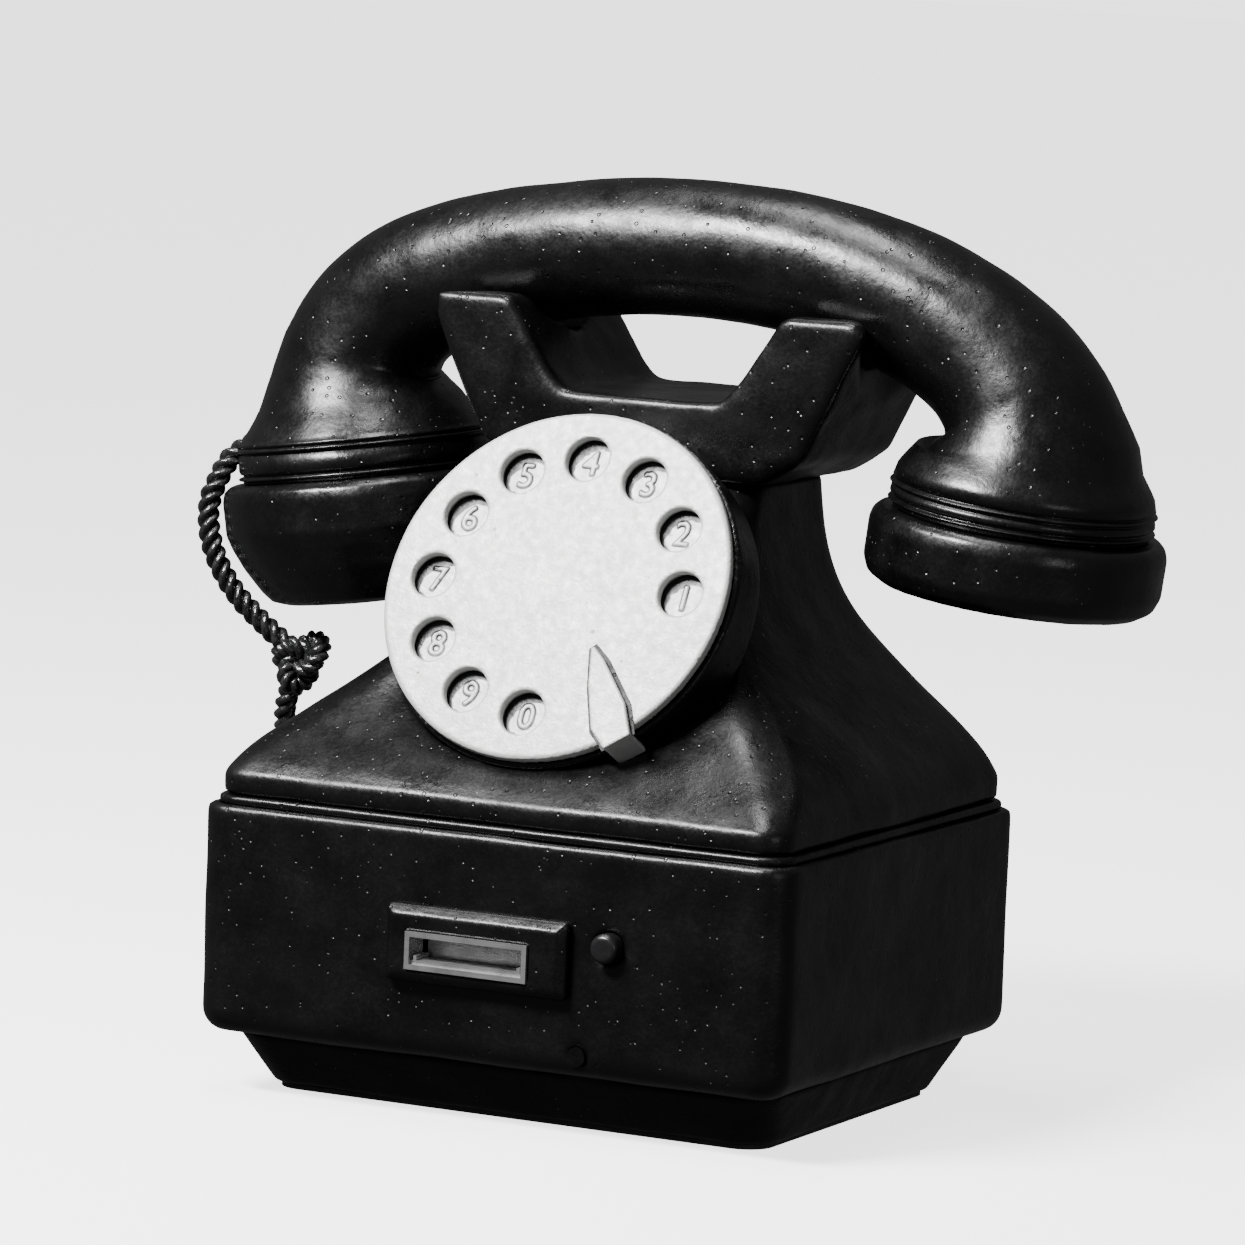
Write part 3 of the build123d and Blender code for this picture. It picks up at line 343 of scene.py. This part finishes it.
for node, finish in LOOKS.items():
    paint(NODES[node], finish)


# Mesh helpers -------------------------------------------------------------------------------

def piece_of(name, mesh, body, slot, finish, *stood_for):
    """A new piece in the row frame, painted, riding on its body and standing for its CAD nodes."""
    obj = bpy.data.objects.new(name, mesh)
    bpy.context.scene.collection.objects.link(obj)
    paint(obj, finish)
    if stood_for:
        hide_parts(*stood_for)
    if body:
        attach(obj, body)
    return obj


def baked(obj):
    """The object's mesh with its modifiers applied."""
    graph = bpy.context.evaluated_depsgraph_get()
    mesh = bpy.data.meshes.new_from_object(obj.evaluated_get(graph))
    obj.modifiers.clear()
    return mesh


def lumpy(mesh, size_mm, depth_mm, seed):
    """Moves each vertex along its normal by smooth noise, as a hand-finished casting does."""
    shift = Vector((seed * 7.3, seed * 3.1, seed * 5.7))
    moved = []
    for vertex in mesh.vertices:
        here = vertex.co / (size_mm * MM) + shift
        amount = noise.noise(here) + 0.45 * noise.noise(here * 2.3)
        moved.append(vertex.co + vertex.normal * (amount * depth_mm * MM))
    for vertex, place in zip(mesh.vertices, moved):
        vertex.co = place
    mesh.update()


def shade_smooth(mesh):
    mesh.polygons.foreach_set("use_smooth", [True] * len(mesh.polygons))


def cast_copy(node, name, slot, voxel_mm, smoothing, lump_mm, depth_mm, seed):
    """A refined copy of a CAD node: remeshed, its edges worn soft, its faces a little uneven."""
    source = NODES[node]
    work = bpy.data.objects.new(name + "_work", source.data.copy())
    bpy.context.scene.collection.objects.link(work)
    remesh = work.modifiers.new("remesh", "REMESH")
    remesh.mode = "VOXEL"
    remesh.voxel_size = voxel_mm * MM
    soften = work.modifiers.new("soften", "SMOOTH")
    soften.factor = 0.5
    soften.iterations = smoothing
    mesh = baked(work)
    bpy.data.objects.remove(work)
    lumpy(mesh, lump_mm, depth_mm, seed)
    shade_smooth(mesh)
    return piece_of(name, mesh, source["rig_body"], slot, LOOKS[node], node)


def rings_mesh(name, rings, closed_ends=True):
    """A skin over rings of points, each ring with the same count."""
    count = len(rings[0])
    mesh = bpy.data.meshes.new(name)
    points = [p for ring in rings for p in ring]
    faces = []
    for k in range(len(rings) - 1):
        for i in range(count):
            j = (i + 1) % count
            faces.append((k * count + i, k * count + j, (k + 1) * count + j, (k + 1) * count + i))
    if closed_ends:
        faces.append(tuple(reversed(range(count))))
        last = (len(rings) - 1) * count
        faces.append(tuple(last + i for i in range(count)))
    mesh.from_pydata([tuple(p) for p in points], [], faces)
    shape = bmesh.new()
    shape.from_mesh(mesh)
    bmesh.ops.recalc_face_normals(shape, faces=shape.faces)
    shape.to_mesh(mesh)
    shape.free()
    shade_smooth(mesh)
    return mesh


def spline_points(points, name):
    """Points along the smooth NURBS line that has these control points."""
    curve = bpy.data.curves.new(name, "CURVE")
    curve.dimensions = "3D"
    curve.resolution_u = 12
    spline = curve.splines.new("NURBS")
    spline.points.add(len(points) - 1)
    for point, place in zip(spline.points, points):
        point.co = (*place, 1)
    spline.order_u = 3
    spline.use_endpoint_u = True
    obj = bpy.data.objects.new(name, curve)
    bpy.context.scene.collection.objects.link(obj)
    mesh = bpy.data.meshes.new_from_object(obj.evaluated_get(bpy.context.evaluated_depsgraph_get()))
    line = [v.co.copy() for v in mesh.vertices]
    bpy.data.objects.remove(obj)
    return line


def evenly(line, step):
    """The same line with points one step apart."""
    out, left = [line[0].copy()], step
    for a, b in zip(line, line[1:]):
        length = (b - a).length
        while length > left:
            a = a + (b - a) * (left / length)
            out.append(a.copy())
            length -= left
            left = step
        left -= length
    out.append(line[-1].copy())
    return out


def length_of(line):
    return sum((b - a).length for a, b in zip(line, line[1:]))


def along(line):
    """A tangent and two steady side directions at each point of a line."""
    frames = []
    side = Vector((0, 0, 1))
    for k, here in enumerate(line):
        tangent = (line[min(k + 1, len(line) - 1)] - line[max(k - 1, 0)]).normalized()
        side = (side - tangent * side.dot(tangent)).normalized()
        frames.append((here, tangent, side, tangent.cross(side)))
    return frames


# Castings: every painted CAD shell gets worn edges and an uneven skin ------------------------

#     node            piece                slot            voxel soften lump depth seed
CASTINGS = [
    ("lower_housing", "lower_housing_cast", "black_enamel", 0.9, 5, 34, 0.42, 1),
    ("upper_housing", "upper_housing_cast", "black_enamel", 0.9, 5, 26, 0.40, 2),
    ("joint_bead", "joint_bead_cast", "black_enamel", 0.5, 2, 20, 0.12, 3),
    ("base_plinth", "base_plinth_cast", "black_enamel", 0.9, 4, 28, 0.35, 4),
    ("cradle", "cradle_cast", "black_enamel", 0.8, 40, 16, 0.40, 5),
    ("dial_cup", "dial_cup_cast", "black_enamel", 0.6, 4, 24, 0.15, 6),
    ("coin_plate", "coin_plate_cast", "black_enamel", 0.4, 8, 12, 0.12, 7),
    ("finger_wheel", "finger_wheel_cast", "silver_paint", 0.4, 4, 18, 0.10, 8),
    ("number_plate", "number_plate_cast", "silver_paint", 0.5, 2, 14, 0.06, 9),
    ("finger_stop", "finger_stop_cast", "silver_paint", 0.3, 3, 10, 0.08, 10),
    ("mouth_cap", "mouth_cap_cast", "black_bakelite", 0.6, 4, 20, 0.20, 11),
    ("ear_cap", "ear_cap_cast", "black_bakelite", 0.6, 4, 20, 0.20, 12),
    ("cash_drawer", "cash_drawer_cast", "black_enamel", 0.6, 2, 24, 0.12, 13),
    ("deposit_button", "deposit_button_cast", "black_bakelite", 0.25, 3, 8, 0.05, 14),
]
for row in CASTINGS:
    cast_copy(*row)


# Digits -------------------------------------------------------------------------------------

DIAL = Matrix.Translation(DIAL_CENTRE) @ Matrix.Rotation(radians(90) - DIAL_TILT, 4, "X")


def smoothstep(low, high, value):
    share = min(max((value - low) / (high - low), 0), 1)
    return share * share * (3 - 2 * share)


def figure_shape(digit):
    """A lookup of the figure's flat outline, centred on the origin."""
    curve = bpy.data.curves.new(f"figure_{digit}", "FONT")
    curve.body = str(digit)
    curve.align_x = "CENTER"
    curve.size = 8.4 * MM
    curve.offset = 0.12 * MM
    work = bpy.data.objects.new("figure_work", curve)
    bpy.context.scene.collection.objects.link(work)
    mesh = bpy.data.meshes.new_from_object(work.evaluated_get(bpy.context.evaluated_depsgraph_get()))
    bpy.data.objects.remove(work)
    high = max(v.co.y for v in mesh.vertices)
    low = min(v.co.y for v in mesh.vertices)
    mesh.transform(Matrix.Translation((0, -(high + low) / 2, 0.5)))
    tree = BVHTree.FromPolygons([v.co for v in mesh.vertices], [p.vertices for p in mesh.polygons])
    return lambda x, y: tree.ray_cast(Vector((x, y, 1)), Vector((0, 0, -1)))[0] is not None


def blurred(grid, passes):
    size = len(grid)
    for _ in range(passes):
        grid = [[(grid[j][i] * 2 + grid[max(j - 1, 0)][i] + grid[min(j + 1, size - 1)][i]
                  + grid[j][max(i - 1, 0)] + grid[j][min(i + 1, size - 1)]) / 6
                 for i in range(size)] for j in range(size)]
    return grid


def figure_inlay(digit, angle):
    """The floor under one finger hole: a raised figure with black round it, partly old ink and partly painted
    shadow: a crescent under the hole's upper-left rim and painted shade beside the figure.
    """
    size, half = 77, 5.8 * MM
    inside = figure_shape(digit)
    ticks = [-half + 2 * half * k / (size - 1) for k in range(size)]
    solid = [[1.0 if inside(x, y) else 0.0 for x in ticks] for y in ticks]
    relief = blurred(solid, 3)
    halo = blurred(solid, 9)
    lit = Vector((-0.62, 0.78))
    points, ink_and_shadow_values, index = [], [], {}
    for j, y in enumerate(ticks):
        for i, x in enumerate(ticks):
            radius = sqrt(x * x + y * y)
            if radius > half:
                continue
            index[i, j] = len(points)
            points.append((x, y, relief[j][i] * FIGURE_HEIGHT))
            facing = (x * lit.x + y * lit.y) / (radius + 1e-6)
            ragged = noise.noise(Vector((x, y, digit * MM)) / (1.3 * MM)) * 0.5 * MM
            # painted shadow: the dark crescent is widest on the side that faces the light
            edge = HOLE_R - (2.3 * max(facing, 0) + 0.75) * MM + ragged
            crescent = smoothstep(edge, edge + 0.35 * MM, radius)
            near = smoothstep(0.07, 0.22, halo[j][i]) * (1 - smoothstep(0.5, 0.85, relief[j][i]))
            # painted shade round the figure's edges, left off on the side away from the light
            shade = near * smoothstep(-1.3, 0.1, facing * radius / HOLE_R + ragged * 900)
            ink_and_shadow_values.append(max(crescent, 0.96 * shade))
    faces = []
    for (i, j), a in index.items():
        corners = [index.get(key) for key in ((i + 1, j), (i + 1, j + 1), (i, j + 1))]
        if None not in corners:
            faces.append((a, *corners))
    mesh = bpy.data.meshes.new(f"figure_{digit}")
    mesh.from_pydata(points, [], faces)
    ink_and_shade = mesh.attributes.new("ink_and_shade", "FLOAT", "POINT")
    ink_and_shade.data.foreach_set("value", ink_and_shadow_values)
    shade_smooth(mesh)
    place = Vector((HOLE_PITCH_R * cos(angle), HOLE_PITCH_R * sin(angle), FLOOR_W))
    mesh.transform(DIAL @ Matrix.Translation(place))
    piece_of(f"figure_{digit}", mesh, "root", "silver_paint", FIGURE_SILVER)


def inked_silver(name, tint):
    finish = silver_paint(name, tint)
    body = finish.shader.inputs["Base Color"].links[0].from_socket
    ink_and_shade = finish.tree.nodes.new("ShaderNodeAttribute")
    ink_and_shade.attribute_name = "ink_and_shade"
    # the attribute mixes near-black into the silver: partly ink, mostly painted shadow
    return finish.color(finish.mix(ink_and_shade.outputs["Fac"], body, (0.008, 0.008, 0.008)))


def stop_outline():
    """The dark line round the finger stop, partly a painted crease and partly painted shadow: a thin sheet
    that shows past the blade's edges.
    """
    shape = [(19.2, 3.9), (24.2, 5.2), (43.2 - 6.4, 5.9), (43.2 + 1.2, 4.2),
             (43.2 + 1.2, -4.2), (43.2 - 4.6, -5.3), (28.3, -2.1), (19.4, 1.8)]
    mesh = bpy.data.meshes.new("finger_stop_line")
    mesh.from_pydata([(x * MM, y * MM, 0.46 * MM) for x, y in shape], [], [tuple(range(len(shape)))])
    mesh.transform(DIAL @ Matrix.Rotation(radians(306), 4, "Z"))
    # a black sheet standing for crease paint and painted shadow round the blade
    piece_of("finger_stop_line", mesh, "root", "black_enamel", DEEP_PAINT)


stop_outline()


FLOOR_W = -2.98 * MM               # just over the number plate
FIGURE_HEIGHT = 0.42 * MM
FIGURE_SILVER = inked_silver("figure_silver", (0.6, 0.61, 0.6))
for step in range(10):
    figure_inlay((step + 1) % 10, FIRST_HOLE + HOLE_STEP * step)


# Handset ------------------------------------------------------------------------------------

NECK_S = 8.5                       # millimetres from the bell's start up to where the handle's line ends
# distance from the nearer end of that line and the handle's radius there, in millimetres
NECK_RADII = [(0, 24.5), (3, 22.9), (6, 21.3), (10, 19.8), (16, 18.6), (24, 17.7), (40, 16.9),
              (70, 16.1), (130, 15.9)]


def bell_axis(side):
    """The bell's start and its direction down through the mouth, with the handset's lean."""
    arch_r, arch_half, bend_r, tilt = 165 * MM, 65 * MM, 34 * MM, radians(7.5)
    slope = atan2(arch_half, sqrt(arch_r**2 - arch_half**2))
    x = arch_half - bend_r * sin(slope) + bend_r * cos(tilt)
    y = sqrt(arch_r**2 - arch_half**2) - arch_r - bend_r * cos(slope) - bend_r * sin(tilt)
    lean = Matrix.Rotation(-LEAN, 4, "Y")
    start = HANDSET_TOP + lean @ Vector((side * x, 0, y))
    down = lean @ Vector((-side * sin(tilt), 0, -cos(tilt)))
    return start, down


def bell_outline(side):
    """Distance down the bell and radius, in millimetres: a shoulder, then two beads between fine grooves."""
    beads = (0.4, 7.0) if side < 0 else (2.6, 6.6)
    outline = [(-8, 24.8), (-6.4, 26.0), (-4.8, 27.1), (-3.4, 28.1), (-2.2, 28.9), (-1.2, 29.5)]
    for middle in beads:
        outline += [(middle - 1.2, 30.2), (middle - 0.9, 29.5), (middle - 0.6, 29.5), (middle - 0.3, 30.5),
                    (middle, 30.8), (middle + 0.3, 30.5), (middle + 0.6, 29.6), (middle + 0.9, 29.6)]
        if middle < 6:
            outline += [(middle + 1.2, 30.3), (5.0, 30.5)]
    return outline + [(8.2, 29.4), (8.3, 26.0)]


def handle_line():
    """The bent centre line from bell to bell, through the fat bends of the handle."""
    left, left_down = bell_axis(-1)
    right, right_down = bell_axis(1)
    middle = [(-84.6, 166.5), (-76, 176.5), (-62, 183.3), (-42, 188.9), (-20, 192.4), (2, 193.2), (24, 192.2),
              (44, 188.6), (62.5, 182.0), (75.5, 174.5), (83.5, 166.5)]
    points = [left - left_down * NECK_S * MM, left - left_down * (NECK_S + 7) * MM]
    points += [Vector((x, 29, z)) * MM for x, z in middle]
    inward = Vector((1.0 * MM, 0, 0))
    points += [right - right_down * (NECK_S + 6) * MM - inward, right - right_down * NECK_S * MM]
    return evenly(spline_points(points, "handle_line"), 1.5 * MM)


def radius_near_bell(far):
    """The handle's radius at a distance from the nearer bell, in millimetres."""
    for (a, ra), (b, rb) in zip(NECK_RADII, NECK_RADII[1:]):
        if far <= b:
            share = (far - a) / (b - a)
            return ra + (rb - ra) * share
    return NECK_RADII[-1][1]


def ring_at(centre, up, radius, turn):
    return [centre + (Vector((0, radius * c, 0)) + up * radius * s) * MM for c, s in turn]


def handset_grip():
    segments = 128
    turn = [(cos(2 * pi * k / segments), sin(2 * pi * k / segments)) for k in range(segments)]
    forward = Vector((0, 1, 0))
    line = handle_line()
    whole = length_of(line) / MM
    rings, far = [], 0.0
    for k, (here, tangent, _, _) in enumerate(along(line)):
        if k:
            far += (here - line[k - 1]).length / MM
        rings.append(ring_at(here, forward.cross(tangent), radius_near_bell(min(far, whole - far)), turn))
    for side in (-1, 1):
        start, down = bell_axis(side)
        up = forward.cross(down) * side
        bell = [ring_at(start + down * s * MM, up, r, turn)
                for s, r in bell_outline(side) if s > 0.5 - NECK_S]
        rings = list(reversed(bell)) + rings if side < 0 else rings + bell
    mesh = rings_mesh("handset_cast", rings)
    smooth_above_rings(mesh)
    lumpy(mesh, 24, 0.3, 21)
    lumpy(mesh, 7, 0.08, 22)
    piece_of("handset_cast", mesh, "handset", "black_bakelite", HAND_PAINT, "handset_grip")


def smooth_above_rings(mesh):
    """Evens out the join of handle and shoulder, and leaves the turned rings crisp."""
    shape = bmesh.new()
    shape.from_mesh(mesh)
    axes = [bell_axis(side) for side in (-1, 1)]
    loose = [v for v in shape.verts if all((v.co - start).dot(down) < -3 * MM for start, down in axes)]
    for _ in range(12):
        bmesh.ops.smooth_vert(shape, verts=loose, factor=0.5,
                              use_axis_x=True, use_axis_y=True, use_axis_z=True)
    shape.to_mesh(mesh)
    shape.free()


handset_grip()


# Cord ---------------------------------------------------------------------------------------

UPPER_ROUTE = [(-108.4, 17.4, 139.6), (-112.4, 15.2, 137.2), (-114.9, 13.7, 132.0), (-117.2, 11.9, 124.5),
               (-115.2, 11.4, 114.3), (-109.8, 12.4, 104.9), (-101.0, 14.2, 96.6), (-94.5, 15.2, 92.0)]
LOWER_ROUTE = [(-93.0, 15.5, 89.0), (-95.5, 16.5, 83.0), (-98.5, 19.0, 75.0), (-99.0, 25.0, 64.0),
               (-96.0, 34.0, 50.0), (-92.0, 45.0, 35.0), (-88.0, 57.0, 20.0), (-82.5, 69.5, 8.5),
               (-74.0, 81.5, 4.0), (-62.0, 88.0, 2.75), (-48.5, 87.0, 2.75)]
TAIL_ROUTE = [(-45.5, 102.0, 10.8), (-48.0, 97.5, 17.5), (-49.4, 91.5, 24.0), (-50.0, 83.5, 28.4),
              (-50.0, 73.5, 29.0)]


def coil_route():
    """Two turns side by side on the surface and one on top of them, uneven as a hand lays them."""
    points = []
    steps, first, last = 42, 250, 203 + 3 * 360
    for k in range(steps + 1):
        turns = (last - first) * k / steps / 360
        angle = radians(first + turns * 360)
        inward = min(max((turns - 0.85) / 0.3, 0), 1) - 0.5 * min(max((turns - 1.85) / 0.3, 0), 1)
        radius = 32.8 - 5.6 * inward + 0.35 * sin(5 * angle + turns)
        height = 2.75 + 4.9 * min(max((turns - 1.8) / 0.4, 0), 1)
        points.append((-22 + radius * cos(angle), 112 + radius * sin(angle), height))
    return points


def strands(line, name, width=CORD_D, pitch=9.5 * MM, count=3, sides=10):
    """Twisted strands that follow a line, as one mesh."""
    frames = along(line)
    offset, radius = width * 0.235, width * 0.265
    mesh_points, faces = [], []
    travelled = 0.0
    walked = []
    for k, (here, _, _, _) in enumerate(frames):
        if k:
            travelled += (here - frames[k - 1][0]).length
        walked.append(travelled)
    for strand in range(count):
        base = len(mesh_points)
        for (here, _, side, other), far in zip(frames, walked):
            turn = 2 * pi * (far / pitch + strand / count)
            fat = 1 + 0.10 * noise.noise(Vector((far / (3 * MM), strand * 9.1, 0)))
            centre = here + (side * cos(turn) + other * sin(turn)) * offset
            for i in range(sides):
                a = 2 * pi * i / sides
                mesh_points.append(centre + (side * cos(a) + other * sin(a)) * radius * fat)
        for k in range(len(frames) - 1):
            for i in range(sides):
                j = (i + 1) % sides
                faces.append((base + k * sides + i, base + k * sides + j,
                              base + (k + 1) * sides + j, base + (k + 1) * sides + i))
        faces.append(tuple(base + i for i in reversed(range(sides))))
        faces.append(tuple(base + (len(frames) - 1) * sides + i for i in range(sides)))
    mesh = bpy.data.meshes.new(name)
    mesh.from_pydata([tuple(p) for p in mesh_points], [], faces)
    shade_smooth(mesh)
    return mesh


def knot_piece():
    """An overhand knot of the same cord: a trefoil turn with its strands, small and tight."""
    centre = Vector((-92.5, 15.5, 89.5)) * MM
    loop = []
    for k in range(73):
        t = 2 * pi * k / 72
        x = (sin(t) + 2 * sin(2 * t)) * 2.15
        y = (cos(t) - 2 * cos(2 * t)) * 2.1
        z = -sin(3 * t) * 2.6
        loop.append(centre + Vector((x * 0.95 - z * 0.3, z * 0.9 + y * 0.15, y * 0.95 + x * 0.2)) * MM)
    mesh = strands(loop, "cord_knot_tied", CORD_D * 0.92, 7 * MM)
    return piece_of("cord_knot_tied", mesh, "root", "cord_braid", CORD, "cord_knot")


def cord_pieces():
    knot = knot_piece()
    upper_line = evenly(spline_points([Vector(p) * MM for p in UPPER_ROUTE], "upper_line"), 0.7 * MM)
    upper = piece_of("cord_upper_twist", strands(upper_line, "cord_upper_twist"), None, "cord_braid", CORD,
                     "cord_upper", "handset_cord_boot")
    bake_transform(upper)
    route = LOWER_ROUTE + coil_route() + TAIL_ROUTE
    lower_line = evenly(spline_points([Vector(p) * MM for p in route], "lower_line"), 0.9 * MM)
    lower = piece_of("cord_lower_twist", strands(lower_line, "cord_lower_twist"), "root", "cord_braid", CORD,
                     "cord_lower", "cord_coil", "cord_tail")


cord_pieces()


# Stage --------------------------------------------------------------------------------------

def aim(obj, target):
    obj.rotation_mode = "QUATERNION"
    obj.rotation_quaternion = (target - obj.location).to_track_quat("-Z", "Y")


def camera():
    """The viewing angle: from the front and the phone's right, low, with the verticals a little tilted."""
    azimuth, elevation, roll, distance = radians(26.5), radians(7.0), radians(2.4), 1.73
    target = Vector((0.0, 0.0, 0.1085))
    data = bpy.data.cameras.new("camera")
    data.sensor_width = 36.0
    wide = 0.285
    data.lens = data.sensor_width * distance / wide
    obj = bpy.data.objects.new("camera", data)
    bpy.context.scene.collection.objects.link(obj)
    back = Vector((sin(azimuth) * cos(elevation), -cos(azimuth) * cos(elevation), sin(elevation)))
    obj.location = target + back * distance
    aim(obj, target)
    obj.rotation_quaternion = obj.rotation_quaternion @ Matrix.Rotation(roll, 4, "Z").to_quaternion()
    bpy.context.scene.camera = obj


def softbox(name, place, target, size, power):
    data = bpy.data.lights.new(name, "AREA")
    data.shape = "RECTANGLE"
    data.size, data.size_y = size
    data.energy = power
    obj = bpy.data.objects.new(name, data)
    bpy.context.scene.collection.objects.link(obj)
    obj.location = place
    aim(obj, Vector(target))


def studio():
    world = bpy.data.worlds.new("studio")
    world.use_nodes = True
    tree = world.node_tree
    background = tree.nodes["Background"]
    path = tree.nodes.new("ShaderNodeLightPath")
    spread = tree.nodes.new("ShaderNodeMapRange")
    spread.inputs["To Min"].default_value = 0.11       # what lights the phone
    spread.inputs["To Max"].default_value = 2.6        # the white backdrop itself
    background.inputs["Color"].default_value = (1, 1, 1, 1)
    tree.links.new(path.outputs["Is Camera Ray"], spread.inputs["Value"])
    tree.links.new(spread.outputs["Result"], background.inputs["Strength"])
    bpy.context.scene.world = world
    softbox("key", (-0.36, -0.60, 0.82), (0, 0, 0.14), (0.40, 0.14), 30.0)
    softbox("top", (-0.10, -0.05, 1.05), (0, 0, 0.15), (0.50, 0.18), 5.0)
    softbox("side", (1.1, -0.7, 0.35), (0, 0, 0.1), (0.25, 0.4), 1.0)
    mesh = bpy.data.meshes.new("floor")
    mesh.from_pydata([(-6, -6, 0), (6, -6, 0), (6, 6, 0), (-6, 6, 0)], [], [(0, 1, 2, 3)])
    floor = bpy.data.objects.new("floor", mesh)
    bpy.context.scene.collection.objects.link(floor)
    pale = Finish("floor_white", (0.92, 0.92, 0.92), roughness=0.9)
    pale.color(pale.mix(pale.noise(0.004, 2), (0.92, 0.92, 0.92), (0.9, 0.9, 0.905)))
    pale.set(Emission_Color=(1, 1, 1, 1), Emission_Strength=2.4)
    floor.visible_glossy = floor.visible_diffuse = False
    paint(floor, pale)


camera()
studio()
